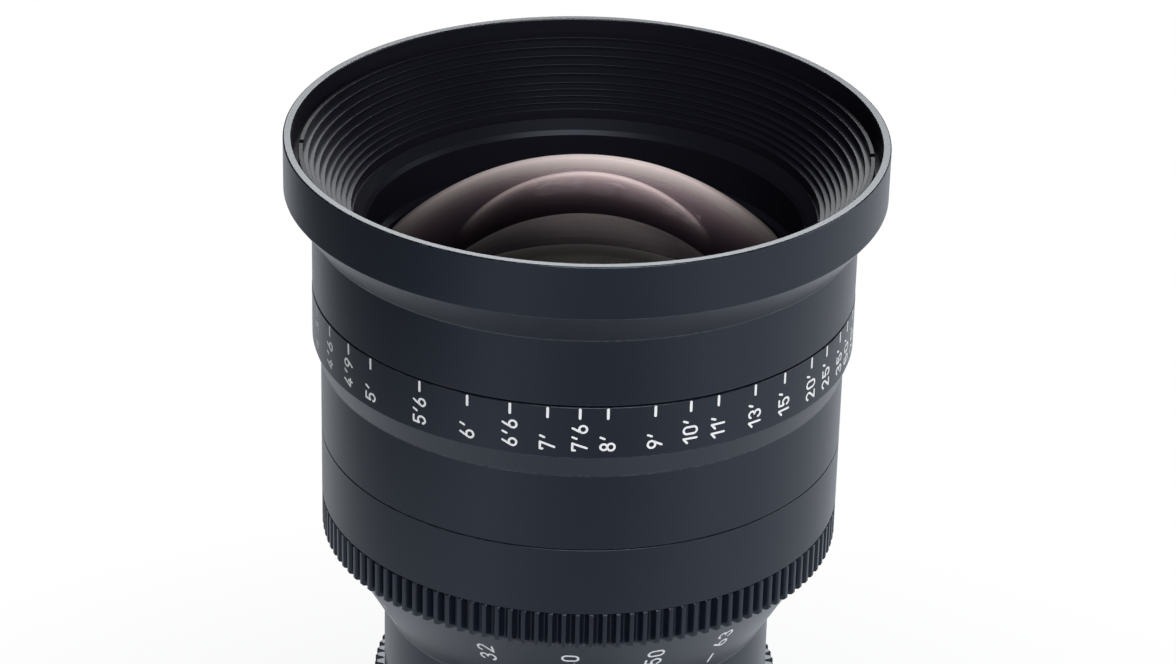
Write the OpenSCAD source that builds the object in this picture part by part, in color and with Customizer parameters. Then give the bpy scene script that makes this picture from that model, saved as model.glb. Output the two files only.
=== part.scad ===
// Cinema zoom lens: a revolving focus ring, zoom ring and iris ring on one fixed barrel.
// The origin is on the optical axis at the mount's flange plane, and +Z points to the front rim.
// Every turning piece turns about Z. At rest the lens is focused far away, at its longest
// focal length, with the iris fully open.

/* [Front collar] */
// Outside radius of the front collar
rim_r = 57; // [56:0.1:62]
// Width of the flat rim face
rim_wall = 1.6; // [1.2:0.1:2.2]
// Length of the cylindrical collar
collar_len = 10.3; // [9.5:0.1:16]
// Length of the cone under the collar
collar_taper_len = 6.9; // [6.3:0.1:9]
// Outside radius of the neck
neck_r = 51.75; // [51.2:0.05:53]
// Length of the neck
neck_len = 13.2; // [12:0.1:20]

/* [Focus ring] */
// Outside radius of the distance scale band
scale_r = 51.8; // [50.8:0.1:53]
// Length of the distance scale band
scale_len = 10.3; // [8:0.1:14]
// Length of the bevel under the scale
bevel_len = 4.6; // [2:0.1:6]
// Outside radius of the focus grip
grip_r = 50.2; // [49.9:0.1:50.6]
// Length of the focus grip
grip_len = 15.6; // [14.5:0.1:22]
// Length of the smooth band above the focus teeth
gear_band_len = 13.6; // [12:0.1:18]
// Turn of the focus ring from far to near, in degrees
focus_turn = 291; // [180:1:300]
// Travel of the focusing group
focus_travel = 9; // [6:0.1:9.5]

/* [Gears] */
// Tooth module of the three drive gears
gear_module = 0.8; // [0.79:0.005:0.81]
// Wall under the teeth of the focus and zoom gears
gear_floor = 1.2; // [1.1:0.05:1.4]
// Wall under the teeth of the iris gear
iris_gear_floor = 1; // [0.9:0.05:1.2]
// Face width of the focus teeth
focus_face = 7.5; // [6:0.1:9]
// Face width of the zoom and iris teeth
small_face = 8; // [6:0.1:9]

/* [Zoom ring] */
// Height of the zoom ring's surface above the main barrel
zoom_wall = 2.75; // [2.5:0.05:3.7]
// Outside radius of the cone's wide end
cone_r = 47.8; // [47:0.1:48.5]
// Length of the zoom ring's cylinder
zoom_grip_len = 28; // [27:0.1:36]
// Length of the cone
zoom_cone_len = 16.9; // [16.4:0.1:19]
// Turn of the zoom ring from long to wide, in degrees
zoom_turn = 157; // [120:1:160]
// Travel of the variator
variator_travel = 22; // [16:0.1:23]
// Travel of the compensator
compensator_travel = 10; // [8:0.1:11]

/* [Iris] */
// Height of the iris ring's surface above the main barrel
iris_wall = 1.7; // [1.5:0.1:2.7]
// Length of the iris ring
iris_ring_len = 25.7; // [22:0.1:30]
// Turn of the iris ring from open to closed, in degrees
iris_turn = 38; // [20:1:38]
// Turn of each blade over the same range, in degrees
blade_turn = 32; // [16:1:32]
// Number of iris blades
blades = 8; // [8:1:8]
// Depth of the blade pivots inside the main barrel's bore
pivot_inset = 9.4; // [8.8:0.1:9.6]
// Depth of the open iris's edge inside the blade pivots
aperture_inset = 8.7; // [8.4:0.1:9]
// Thickness of a blade
blade_t = 0.25; // [0.15:0.01:0.3]

/* [Fixed barrel] */
// Outside radius of the main barrel
main_r = 35.3; // [35.2:0.05:35.8]
// Wall of the main barrel
main_wall = 1.9; // [1.8:0.05:2.1]
// Length of the fixed index band
index_band_len = 5.7; // [4:0.1:9]
// Length of the rear barrel
rear_barrel_len = 34.3; // [33:0.1:42]
// Outside radius of the focus guide barrel
guide_r = 45; // [44.8:0.05:45.2]
// Wall of the focus guide barrel
guide_wall = 2; // [1.6:0.1:2.2]

/* [Mount] */
// Radius of the register tube
register_r = 27; // [26.8:0.05:27.2]
// Length of the register tube behind the flange
register_len = 17.5; // [16:0.1:19]
// Wall of the register tube
register_wall = 2.5; // [1.8:0.1:3]
// Outside radius of the mount's four lugs
lug_r = 34.2; // [33:0.1:35]
// Thickness of the mount flange
flange_t = 3.2; // [2.8:0.1:4]
// Thickness of the shim in front of the flange
shim_t = 0.5; // [0.3:0.1:1]

/* [Front glass] */
// Radius of curvature of the front surface
front_curve = 54.1; // [52:0.1:58]
// Depth of the front surface's centre below the rim
front_depth = 9.7; // [9.5:0.1:11]
// Radius of the front element's edge
front_edge_r = 41; // [40.6:0.1:41.2]

/* [Hidden] */

$fn = 96;
// Largest depth of a facet on a glass surface
facet_depth = 0.01;
// Overrun of every cut past the face that it leaves
over = 1;

// Fits and gaps
// Visible gap between a turning ring and its neighbour
ring_gap = 0.3;
// Gap between the zoom cone and the focus teeth
gear_gap = 0.5;
// Radial clearance of every turning or sliding fit
run_fit = 0.06;
// Radial clearance of a piece seated in its own body
seat_fit = 0.04;
// Clearance of a follower pin in its slot, on each side
slot_fit = 0.1;
// Air left between two pieces that pass each other
pass_gap = 1;
// Small edge break on outside corners
edge = 0.35;

// Gear teeth
// Pressure angle of the teeth in degrees, and their height and depth in modules
pressure_angle = 20;
tooth_height = 1;
tooth_depth = 1.25;

// Stations along the axis, from the flange plane to the rim
z_rear = flange_t + shim_t;
z_iris = z_rear + rear_barrel_len;
z_iris_ring = z_iris + ring_gap;
z_band = z_iris_ring + iris_ring_len + ring_gap;
z_zoom = z_band + index_band_len + ring_gap;
z_cone = z_zoom + zoom_grip_len;
z_cone_end = z_cone + zoom_cone_len;
z_gear = z_cone_end + gear_gap;
z_gear_band = z_gear + focus_face;
z_grip = z_gear_band + gear_band_len;
z_bevel = z_grip + grip_len;
z_scale = z_bevel + bevel_len;
z_focus_end = z_scale + scale_len;
z_neck = z_focus_end + ring_gap;
z_taper = z_neck + neck_len;
z_collar = z_taper + collar_taper_len;
z_rim = z_collar + collar_len;

// Fixed barrel
main_bore_r = main_r - main_wall;
zoom_r = main_r + zoom_wall;
iris_ring_r = main_r + iris_wall;
band_r = iris_ring_r;
// Length of the main barrel's tail inside the rear barrel
main_seat = 8;
z_main = z_iris - main_seat;
// Thickness of the ledge that carries the iris
iris_floor = 4;
// Width of that ledge
iris_ledge = 1.9;
z_iris_plate = z_main + iris_floor;
// Depth of the guide tube's shoulder behind the cone
shoulder_back = 0.8;
// Step of the bore at that shoulder
shoulder_step = 0.8;
// Thickness of the guide tube's flange and of the ring that clamps it
tube_flange_t = 2.2;
z_shoulder = z_cone - shoulder_back;
z_tube_end = z_shoulder + tube_flange_t;
z_ring_end = z_tube_end + tube_flange_t;
shoulder_r = main_bore_r + shoulder_step;
// Slope of the zoom cone, as radius per length
cone_slope = (cone_r - zoom_r) / zoom_cone_len;
// Wall of the zoom cone, across the axis
cone_wall = 2.3;
// Gap between the zoom cone and the fixed cone, across the axis
cone_gap = 0.6;
// Wall of the fixed cone, across the axis
fixed_cone_wall = 3;
function zoom_cone_r(z) = zoom_r + (z - z_cone) * cone_slope;
function fixed_cone_r(z) = zoom_cone_r(z) - cone_wall - cone_gap;
function fixed_cone_z(r) = z_cone + (r + cone_wall + cone_gap - zoom_r) / cone_slope;
// Thickness of the fixed flange under the focus ring
focus_flange_t = 2.3;
// Width of its ledge outside the guide barrel
focus_ledge = 1.9;
// Length of the spigot inside the guide barrel
spigot_len = 4;
// Wall of the spigot
spigot_wall = 2.3;
z_focus_seat = z_gear + focus_flange_t;
z_spigot = z_focus_seat + spigot_len;
guide_bore_r = guide_r - guide_wall;
spigot_r = guide_bore_r - seat_fit;

// Focus ring and its cam sleeve
// Wall of the cam sleeve
sleeve_wall = 2.3;
sleeve_bore_r = guide_r + run_fit;
sleeve_r = sleeve_bore_r + sleeve_wall;
ring_bore_r = sleeve_r + seat_fit;
// Thickness of the focus ring's lip in front of the sleeve
focus_lip_t = 2.3;
z_sleeve = z_focus_seat + ring_gap;
z_sleeve_end = z_focus_end - focus_lip_t;
// Angle of one focus tooth from the front, in degrees
focus_gear_phase = 0.48;
// Cut back of the focus tooth tips below the standard height
focus_tip_cut = 0.2;
// Width of the groove between the teeth and the smooth band of a gear ring
gear_groove_w = 0.2;
// Depth of that groove below the tooth roots
gear_groove_depth = 0.3;

// Front cell and its glass
// Length of the front barrel's land on the guide barrel
front_land = 3.4;
z_guide_end = z_neck + front_land;
// Step from the guide barrel out to the front cell's wide end
front_cell_step = 1;
front_cell_r = guide_r + front_cell_step;
front_cell_fit_r = front_cell_r + seat_fit;
// Depth of the front cell's end face below the rim
front_cell_depth = 16.2;
z_front_cell_end = z_rim - front_cell_depth;
// Wall of the cell round the front retaining ring
front_cell_wall = 1.8;
// Thickness of the front element at its centre
front_centre_t = 3.5;
// Radius of curvature of the front element's back
front_back_curve = 34;
// Clear radius of the front element's back
front_back_r = 32.5;
z_front_apex = z_rim - front_depth;
z_front_centre = z_front_apex - front_curve;
z_front_back_apex = z_front_apex - front_centre_t;
z_front_back_edge = z_front_back_apex - sag(front_back_curve, front_back_r);
z_front_edge = z_front_apex - sag(front_curve, front_edge_r);
// Gap between a lens surface and the ring that clamps it
glass_gap = 0.08;
// Radius of the second element
second_r = 34;
// Radii of curvature of the second element's front and back
second_curve = 62;
second_back_curve = 88;
// Air between the two front elements on the axis
second_air = 16.8;
// Centre thickness of the second element
second_t = 5;
z_second = z_front_back_apex - second_air;
z_second_back = z_second - second_t;
z_second_foot = z_second_back - sag(second_back_curve, second_r);
// Width and height of the second retaining ring
second_ring_w = 1.6;
second_ring_h = 2.4;
z_second_ring = z_second_foot - glass_gap - second_ring_h;
z_front_cell = z_second_ring - edge / 2;
// Inner radius of the front retaining ring
front_lip_r = 41.6;
// Height and width of the steep chamfer at its lip
front_lip_h = 0.85;
front_lip_w = 0.6;
// Width of the wide cone above that chamfer
front_cone_w = 1.75;
// Width of the nose that presses on the glass
nose_w = 0.6;

// Baffle
// Depth of the baffle's top face below the rim
baffle_depth = 3.1;
// Room between the baffle's top ring and the collar's bore
baffle_room = 1.3;
// Width of that top ring
baffle_top_w = 0.9;
rim_bore_r = rim_r - rim_wall;
baffle_top_r = rim_bore_r - baffle_room;
baffle_mouth_r = baffle_top_r - baffle_top_w;
// Width of the baffle's step over the front cell's wall
throat_step = 0.05;
baffle_throat_r = front_cell_r - front_cell_wall + throat_step;
// Number and height of the tall steps, and their share of the funnel's width
tall_steps = 5;
tall_step_h = 1.49;
tall_share = 0.5754;
tall_step_w = tall_share * (baffle_mouth_r - baffle_throat_r) / tall_steps;
// Number and height of the short steps
short_steps = 4;
short_step_h = 1.02;
short_step_w = (1 - tall_share) * (baffle_mouth_r - baffle_throat_r) / short_steps;
// Wall of the baffle behind the steps
baffle_wall = 1.7;
// Length of the baffle's seat in the front barrel
baffle_seat_len = 3.4;
// Depth of the relief above that seat
baffle_relief = 2.4;
// Width and depth of the spanner notches
notch_w = 1.5;
notch_depth = 1;
z_baffle = z_rim - baffle_depth;

// Zoom guide tube and cam tube
// Thickness of the iris cover plate
cover_t = 1.6;
// Thickness of the iris base plate
plate_t = 2;
// Air between the plates and the blades
blade_air = 0.2;
// Air from one blade to the next, as a share of a blade's thickness
blade_air_share = 0.4;
blade_pitch = (1 + blade_air_share) * blade_t;
// Air between the last blade and the actuator ring
stack_air = 0.3;
// Thickness of the actuator ring
actuator_t = 2.4;
z_plate_top = z_iris_plate + plate_t;
z_blades = z_plate_top + blade_air;
z_stack = z_blades + (blades - 1) * blade_pitch + blade_t;
z_actuator = z_stack + stack_air;
z_actuator_end = z_actuator + actuator_t;
z_cover = z_actuator_end + blade_air;
z_tube = z_cover + cover_t;
// Walls of the cam tube and of the zoom guide tube inside it
cam_wall = 2.54;
tube_wall = 2;
cam_r = main_bore_r - ring_gap;
cam_bore_r = cam_r - cam_wall;
tube_r = cam_bore_r - run_fit;
tube_bore_r = tube_r - tube_wall;
z_cam = z_tube + ring_gap;
z_cam_end = z_shoulder - ring_gap;
cell_r = tube_bore_r - run_fit;
// Radius of the follower pins' working end
follower_r = 1.9;
// Radius of the compensator's follower pins
small_follower_r = 1.5;
// Number of followers on each sliding zoom cell
followers = 3;
// Distance from the variator's foremost pin place to the guide tube's shoulder
variator_margin = 5.5;
z_variator_pin = z_shoulder - variator_margin - variator_travel;
// Radius of the variator's and the compensator's glass, as shares of the guide tube's bore
variator_share = 0.7368;
compensator_share = 0.6491;
variator_glass_r = variator_share * tube_bore_r;
compensator_glass_r = compensator_share * tube_bore_r;
// Length of each cell behind and in front of its pins, as shares of its glass radius
variator_back_share = 0.381;
variator_front_share = 0.476;
compensator_back_share = 0.297;
compensator_front_share = 0.351;
z_variator = z_variator_pin - variator_back_share * variator_glass_r;
z_variator_end = z_variator_pin + variator_front_share * variator_glass_r;
// Height of the compensator cell above the iris cover
compensator_rise = 1.1;
z_compensator = z_tube + compensator_rise;
z_compensator_pin = z_compensator + compensator_back_share * compensator_glass_r;
z_compensator_end = z_compensator_pin + compensator_front_share * compensator_glass_r;
// Step of a helical slot's facets, in degrees
slot_step = 8;

// Zoom drive key
// Radius of the zoom drive key
key_r = 1.5;
// Height of the zoom key above the zoom ring's rear end
key_rise = 7.7;
z_key = z_zoom + key_rise;
// The key passes half way between two slots of the cam tube
key_angle = -(z_key - z_variator_pin) / variator_travel * zoom_turn + 180 / followers;
// Height of the seat under the zoom gear ring above the main barrel
zoom_seat_wall = 1.7;
zoom_seat_r = main_r + zoom_seat_wall;
focus_teeth = teeth_over(ring_bore_r + gear_floor);
zoom_teeth = teeth_over(zoom_seat_r + gear_floor);
// Length of the smooth band behind the teeth of the small gears
small_band = 3.5;
small_ring_len = small_band + small_face;
// Height of the smooth bands below the tooth tips
band_drop = 0.4;

// Iris
// Height of the seat under the iris gear ring above the main barrel
iris_seat_wall = 1.1;
iris_seat_r = main_r + iris_seat_wall;
iris_teeth = teeth_over(iris_seat_r + iris_gear_floor);
pivot_r = main_bore_r - pivot_inset;
aperture_r = pivot_r - aperture_inset;
// Radius of the iris drive key
iris_key_r = 0.7;
// Azimuth of the iris drive key at rest, in degrees
iris_key_angle = 90;
z_iris_key = z_actuator + actuator_t / 2;
// Wall of the base plate's rim round the actuator ring, with the room inside it
actuator_inset = 2.4;
actuator_r = main_bore_r - actuator_inset;
// Width of a blade
blade_w = 7;
// Angle over which a blade reaches, in degrees
blade_reach = 112;
// Radius of the blades' pivot and drive pins
pivot_pin_r = 0.6;
drive_pin_r = 0.5;
// Clearance of those pins in their holes and slots
pin_fit = 0.06;
// Distance from a blade's pivot to its drive pin
drive_arm = 3.5;
// Radius of the rounded ends of a blade's arm
boss_r = 1.7;
tail_r = 1.2;
// Lean of the arm's sides where they leave its pivot end, in degrees
arm_lean = 20;
// Places where the arm joins the crescent, across and along, as shares of the blade's width
arm_shares = [[0.75, 1], [0.25, 0.8]];
// Start of a blade's crescent, as a share of the angle between two blades
blade_start_share = 0.25;
// Step from the open iris out to the bore of its plates
plate_step = 0.7;
plate_aperture_r = aperture_r + plate_step;
// Width of the actuator ring inside the circle of pivots
actuator_land = 1.4;
actuator_bore_r = pivot_r - actuator_land;
// Points along each cam slot of the actuator ring
cam_points = 8;
iris_rim_bore_r = actuator_r + run_fit;
iris_plate_r = main_bore_r - seat_fit;

// Focus cell
// Length of the focus cell
focus_cell_len = 19;
// Wall of the focus cell's skirt
focus_cell_wall = 2;
focus_cell_r = guide_bore_r - run_fit;
z_focus_cell = z_front_cell - pass_gap - focus_travel - focus_cell_len;
z_focus_pin = z_focus_cell + focus_cell_len / 2;
// Radius of the focusing elements
focus_glass_r = 30;
// Radii of curvature of the focusing doublet
focus_curve = 95;
focus_mid_curve = 75;
focus_back_curve = 160;
// Centre thickness of the doublet's two elements
focus_t = 12.5;
focus_back_t = 2.8;
// Cement gap of a doublet
cement = 0.05;
// Distance of the doublet's front from the cell's front end
focus_glass_depth = 1.5;
z_focus_glass = z_focus_cell + focus_cell_len - focus_glass_depth;
z_focus_mid = z_focus_glass - focus_t;
z_focus_back = z_focus_mid - cement - focus_back_t;

// Rear cell
// Outside radius and wall of the rear cell's tube
rear_cell_r = 22;
rear_glass_r = 19;
rear_bore_r = rear_glass_r + seat_fit;
// Thickness and radius of the rear cell's flange
rear_flange_t = 2.5;
rear_flange_r = main_r - edge;
z_rear_flange = z_main - rear_flange_t;
// Height of the rear cell's front end above its flange
rear_cell_rise = 2.5;
z_rear_cell_end = z_main + rear_cell_rise;
// Depth of the rear cell's end behind the flange plane
rear_cell_depth = 13;
// Wall of the rear barrel round its seat
rear_wall = 1.46;
rear_seat_r = main_r + seat_fit;
rear_r = rear_seat_r + rear_wall;
// Radius of the rear barrel at the mount, outside and inside
rear_base_r = 30.6;
rear_base_bore_r = 25.6;
// Length of that base, and of the cone in front of it
rear_base_len = 8.3;
rear_cone_len = 12;
// Length of the solid boss that the mount screws enter
rear_boss_len = 6;

// Mount details
// Radius between the lugs
lug_root_r = 31;
// Width of a lug, in degrees
lug_span = 50;
// Number of lugs and of mount screws
lugs = 4;
// Width and depth of the locating notch in each lug
locating_w = 3.1;
locating_depth = 2.2;
// Radius of the circle of mount screws
mount_screw_circle = 28.9;
// Radius and length of a mount screw's shank
mount_screw_r = 1;
mount_screw_len = 5;
// Radius and height of a mount screw's head
mount_head_r = 1.6;
mount_head_h = 1.6;
// Depth of a screw head below the face round it
head_sink = 0.15;
// Depth and pitch of the light trap grooves inside the register tube
trap_depth = 0.6;
trap_pitch = 1.5;
// Share of the pitch that each flank of a groove takes
flank_share = 0.1;

// Set screws of the rear barrel
barrel_screws_n = 3;
set_screw_r = 1.25;
set_screw_len = 3.9;
// Radius across the corners of a hexagon socket
socket_r = 0.75;
socket_depth = 1.2;

// Number of teeth whose roots stand closest to radius r
function teeth_over(r) = round(2 * (r / gear_module + tooth_depth));
// Number of facets round a sphere that keeps them within the facet depth
function smooth(curve) = ceil(PI * sqrt(curve / (2 * facet_depth)));

// Sagitta of a spherical surface of curvature radius curve at radius r
function sag(curve, r) = curve - sqrt(curve * curve - r * r);
// Radius of the circle through the corners of a follower's slot, across the slope
function slot_half(pin_r, rise, turn, r) =
    (pin_r + slot_fit) * sqrt(1 + pow(rise / (turn * PI / 180 * r), 2));

// Body finish colours
anodised = [0.17, 0.18, 0.20];
matt_black = [0.07, 0.07, 0.08];
brass = [0.72, 0.60, 0.32];
steel = [0.70, 0.71, 0.73];
glass = [0.55, 0.50, 0.58, 0.5];

// Shapes shared by the pieces

// A tube between two radii, from z0 upwards
module tube(outer, inner, z0, len) {
    translate([0, 0, z0])
        difference() {
            cylinder(r = outer, h = len);
            translate([0, 0, -over])
                cylinder(r = inner, h = len + 2 * over);
        }
}

// A solid of revolution from an outline of [radius, height] points
module turned(outline) {
    rotate_extrude()
        polygon(outline);
}

// A round bar that points outwards from the axis, between two radii
module radial_bar(r, inner, outer) {
    translate([inner, 0, 0])
        rotate([0, 90, 0])
            cylinder(r = r, h = outer - inner);
}

// A slot with round ends that runs along the axis through a wall
module straight_slot(half, inner, outer, z0, z1) {
    translate([inner, -half, z0])
        cube([outer - inner, 2 * half, z1 - z0]);
    for (z = [z0, z1])
        translate([0, 0, z])
            radial_bar(half, inner, outer);
}

// A slot with square ends that runs round the axis through a wall
module arc_slot(half, inner, outer, z, turn) {
    end = asin(half / inner);
    rotate([0, 0, -end])
        translate([0, 0, z - half])
            rotate_extrude(angle = turn + 2 * end)
                translate([inner, 0])
                    square([outer - inner, 2 * half]);
}

// A slot with square ends that climbs as it runs backwards round the axis
module helical_slot(pin_r, inner, outer, z, rise, turn) {
    end = asin((pin_r + slot_fit) / inner);
    steps = ceil((turn + 2 * end) / slot_step);
    wide = slot_half(pin_r, rise, turn, (inner + outer) / 2);
    corners = [[inner, -wide], [outer, -wide], [outer, wide], [inner, wide]];
    points = [
        for (i = [0:steps], c = corners)
            let (a = end - (turn + 2 * end) * i / steps)
            [c[0] * cos(a), c[0] * sin(a), z - rise * a / turn + c[1]]
    ];
    sides = [
        for (i = [0:steps - 1], k = [0:3])
            let (a = 4 * i + k, b = 4 * i + (k + 1) % 4)
            each [[a, a + 4, b], [b, a + 4, b + 4]]
    ];
    ends = [[0, 1, 2], [0, 2, 3], [4 * steps, 4 * steps + 2, 4 * steps + 1],
            [4 * steps, 4 * steps + 3, 4 * steps + 2]];
    polyhedron(points, concat(sides, ends));
}

// Involute function of an angle in degrees
function involute(a) = tan(a) - a * PI / 180;
// Half angle of a tooth at radius r, in degrees
function tooth_half(r, n) =
    let (pitch_r = n * gear_module / 2, base_r = pitch_r * cos(pressure_angle))
    90 / n + (involute(pressure_angle) - involute(acos(base_r / r))) * 180 / PI;
function gear_tip(n) = (n / 2 + tooth_height) * gear_module;
function gear_root(n) = (n / 2 - tooth_depth) * gear_module;

// Outline of a spur gear with its tips at radius tip
module gear_outline(n, tip) {
    root = gear_root(n);
    polygon([
        for (i = [0:n - 1], p = [[root, -1], [tip, -1], [tip, 1], [root, 1]])
            let (a = 360 * i / n + p[1] * tooth_half(p[0], n))
            [p[0] * cos(a), p[0] * sin(a)]
    ]);
}

// A gear ring over a bore: teeth with their tips at radius tip, and a band given by its
// outline, which also has the groove between the two
module gear_ring(n, tip, phase, z_teeth, face, band, bore, z0, z1) {
    difference() {
        union() {
            rotate([0, 0, phase - 90])
                translate([0, 0, z_teeth])
                    linear_extrude(height = face)
                        gear_outline(n, tip);
            turned(band);
        }
        translate([0, 0, z0 - over])
            cylinder(r = bore, h = z1 - z0 + 2 * over);
    }
}

// Ball whose skin is a lens surface, with its centre at height z
module ball(z, curve) {
    translate([0, 0, z])
        sphere(r = curve, $fn = smooth(curve));
}

// A lens element between two heights. A positive curve bulges towards +Z, a negative one
// towards -Z and 0 is flat. front and back are the heights of the surfaces on the axis.
module element(r, front, front_curve, back, back_curve) {
    low = back_curve > 0 ? back - sag(back_curve, r) : back_curve < 0 ? back - over : back;
    high = front_curve < 0 ? front + sag(-front_curve, r) : front_curve > 0 ? front + over : front;
    color(glass)
        difference() {
            intersection() {
                translate([0, 0, low])
                    cylinder(r = r, h = high - low);
                if (front_curve > 0)
                    ball(front - front_curve, front_curve);
                if (back_curve < 0)
                    ball(back - back_curve, -back_curve);
            }
            if (front_curve < 0)
                ball(front - front_curve, -front_curve);
            if (back_curve > 0)
                ball(back - back_curve, back_curve);
        }
}

// Fixed barrel, from the front to the mount

// Collar, cone and neck in one shell with a bore for the baffle and the front cell
module front_barrel() {
    seat_z = z_baffle - baffle_relief - baffle_seat_len;
    color(anodised)
        turned([
            [guide_r + seat_fit, z_neck], [neck_r - edge, z_neck], [neck_r, z_neck + edge],
            [neck_r, z_taper], [rim_r, z_collar], [rim_r, z_rim - edge], [rim_r - edge, z_rim],
            [rim_bore_r + edge, z_rim], [rim_bore_r, z_rim - edge], [rim_bore_r, seat_z],
            [front_cell_fit_r + baffle_wall, z_front_cell_end - edge],
            [front_cell_fit_r, z_front_cell_end - edge], [front_cell_fit_r, z_guide_end],
            [guide_r + seat_fit, z_guide_end]
        ]);
}

// Stepped funnel that traps stray light, with two spanner notches in its top ring
module front_baffle() {
    tall_r = baffle_mouth_r - tall_steps * tall_step_w;
    tall_z = z_baffle - tall_steps * tall_step_h;
    low_z = tall_z - short_steps * short_step_h;
    seat_z = z_baffle - baffle_relief;
    seat_end = seat_z - baffle_seat_len;
    steps = concat(
        [for (i = [0:tall_steps - 1], k = [0, 1])
            [baffle_mouth_r - i * tall_step_w, z_baffle - (i + k) * tall_step_h]],
        [for (i = [0:short_steps - 1], k = [0, 1])
            [tall_r - i * short_step_w, tall_z - (i + k) * short_step_h]],
        [[baffle_throat_r, low_z], [baffle_throat_r, z_front_cell_end]]
    );
    back = [
        [baffle_throat_r + baffle_wall, z_front_cell_end],
        [baffle_throat_r + baffle_wall, low_z],
        [rim_bore_r - seat_fit, seat_end + edge],
        [rim_bore_r - seat_fit, seat_z], [baffle_top_r, seat_z], [baffle_top_r, z_baffle]
    ];
    color(matt_black)
        difference() {
            turned(concat(steps, back));
            for (a = [0, 180])
                rotate([0, 0, a])
                    translate([baffle_mouth_r - over, -notch_w / 2, z_baffle - notch_depth])
                        cube([baffle_top_r - baffle_mouth_r + 2 * over, notch_w, notch_depth + over]);
        }
}

// Cell that holds the two front elements, stepped at its ledges
module front_cell() {
    glass_seat = z_front_back_edge - seat_fit;
    lip_z = z_second - sag(second_curve, second_r - second_ring_w) + glass_gap;
    color(matt_black)
        turned([
            [guide_bore_r - seat_fit, z_front_cell], [guide_bore_r - seat_fit, z_guide_end],
            [front_cell_r, z_guide_end], [front_cell_r, z_front_cell_end],
            [front_cell_r - front_cell_wall, z_front_cell_end],
            [front_cell_r - front_cell_wall, z_guide_end + edge],
            [front_edge_r + seat_fit, z_guide_end + edge], [front_edge_r + seat_fit, glass_seat],
            [second_r - second_ring_w, glass_seat], [second_r - second_ring_w, lip_z],
            [second_r + seat_fit, lip_z], [second_r + seat_fit, z_front_cell]
        ]);
}

module front_element() {
    color(glass)
        difference() {
            intersection() {
                translate([0, 0, z_front_back_edge])
                    cylinder(r = front_edge_r, h = z_rim - z_front_back_edge);
                ball(z_front_centre, front_curve);
            }
            ball(z_front_back_apex - front_back_curve, front_back_curve);
        }
}

module second_element() {
    element(second_r, z_second, second_curve, z_second_back, second_back_curve);
}

// Threaded ring whose nose clamps the front element, with a conical lip round the glass
module front_retainer() {
    outer = front_cell_r - front_cell_wall - seat_fit;
    top = z_front_cell_end - edge;
    shelf = z_guide_end + edge;
    chamfer_z = top - front_cone_w;
    color(matt_black)
        difference() {
            turned([
                [front_edge_r, z_front_edge - edge], [front_edge_r, shelf], [outer, shelf],
                [outer, top], [front_lip_r + front_lip_w + front_cone_w, top],
                [front_lip_r + front_lip_w, chamfer_z],
                [front_lip_r, chamfer_z - front_lip_h], [front_lip_r, shelf + edge],
                [front_edge_r - nose_w, shelf - edge], [front_edge_r - nose_w, z_front_edge - edge]
            ]);
            ball(z_front_centre, front_curve + glass_gap);
        }
}

module second_retainer() {
    color(matt_black)
        tube(second_r, second_r - second_ring_w, z_second_ring, second_ring_h);
}

// Fixed tube that the focus sleeve turns on and the focus cell slides in
module focus_guide_barrel() {
    half = follower_r + slot_fit;
    color(anodised)
        difference() {
            tube(guide_r, guide_bore_r, z_focus_seat, z_guide_end - z_focus_seat);
            straight_slot(half, guide_bore_r - over, guide_r + over, z_focus_pin,
                          z_focus_pin + focus_travel);
        }
}

// Outline of the main barrel: tail, index band, zoom bearing, cone and focus flange
function main_outline() = [
    [main_r, z_main], [main_r, z_band], [band_r, z_band], [band_r, z_zoom - ring_gap],
    [main_r, z_zoom - ring_gap], [main_r, fixed_cone_z(main_r)],
    [fixed_cone_r(z_cone_end), z_cone_end], [fixed_cone_r(z_cone_end), z_gear],
    [guide_r + focus_ledge, z_gear], [guide_r + focus_ledge, z_focus_seat],
    [spigot_r, z_focus_seat], [spigot_r, z_spigot], [spigot_r - spigot_wall, z_spigot],
    [spigot_r - spigot_wall, fixed_cone_z(spigot_r - spigot_wall + fixed_cone_wall)],
    [shoulder_r, max(z_ring_end, fixed_cone_z(shoulder_r + fixed_cone_wall))],
    [shoulder_r, z_shoulder], [main_bore_r, z_shoulder], [main_bore_r, z_iris_plate],
    [main_bore_r - iris_ledge, z_iris_plate], [main_bore_r - iris_ledge, z_main]
];

// The fixed backbone, with arc slots for the zoom key and the iris key
module main_barrel() {
    color(anodised)
        difference() {
            turned(main_outline());
            rotate([0, 0, key_angle])
                arc_slot(key_r + ring_gap, main_bore_r - over, main_r + over, z_key, zoom_turn);
            rotate([0, 0, iris_key_angle])
                arc_slot(iris_key_r + ring_gap, main_bore_r - over, main_r + over, z_iris_key,
                         iris_turn);
            barrel_screw_places()
                radial_bar(set_screw_r + seat_fit, main_bore_r - iris_ledge + edge, main_r + over);
        }
}

// Fixed tube with straight slots that keep the zoom cells from turning
module zoom_guide_tube() {
    color(anodised)
        difference() {
            union() {
                tube(tube_r, tube_bore_r, z_tube, z_tube_end - z_tube);
                tube(shoulder_r - seat_fit, tube_r - edge, z_shoulder, tube_flange_t);
            }
            for (i = [0:followers - 1])
                rotate([0, 0, 360 * i / followers]) {
                    straight_slot(follower_r + slot_fit, tube_bore_r - over, tube_r + over,
                                  z_variator_pin, z_variator_pin + variator_travel);
                    straight_slot(small_follower_r + slot_fit, tube_bore_r - over, tube_r + over,
                                  z_compensator_pin, z_compensator_pin + compensator_travel);
                }
        }
}

// Threaded ring that clamps the guide tube's flange
module guide_tube_ring() {
    color(matt_black)
        tube(shoulder_r - seat_fit, tube_bore_r + edge, z_tube_end, tube_flange_t);
}

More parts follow.
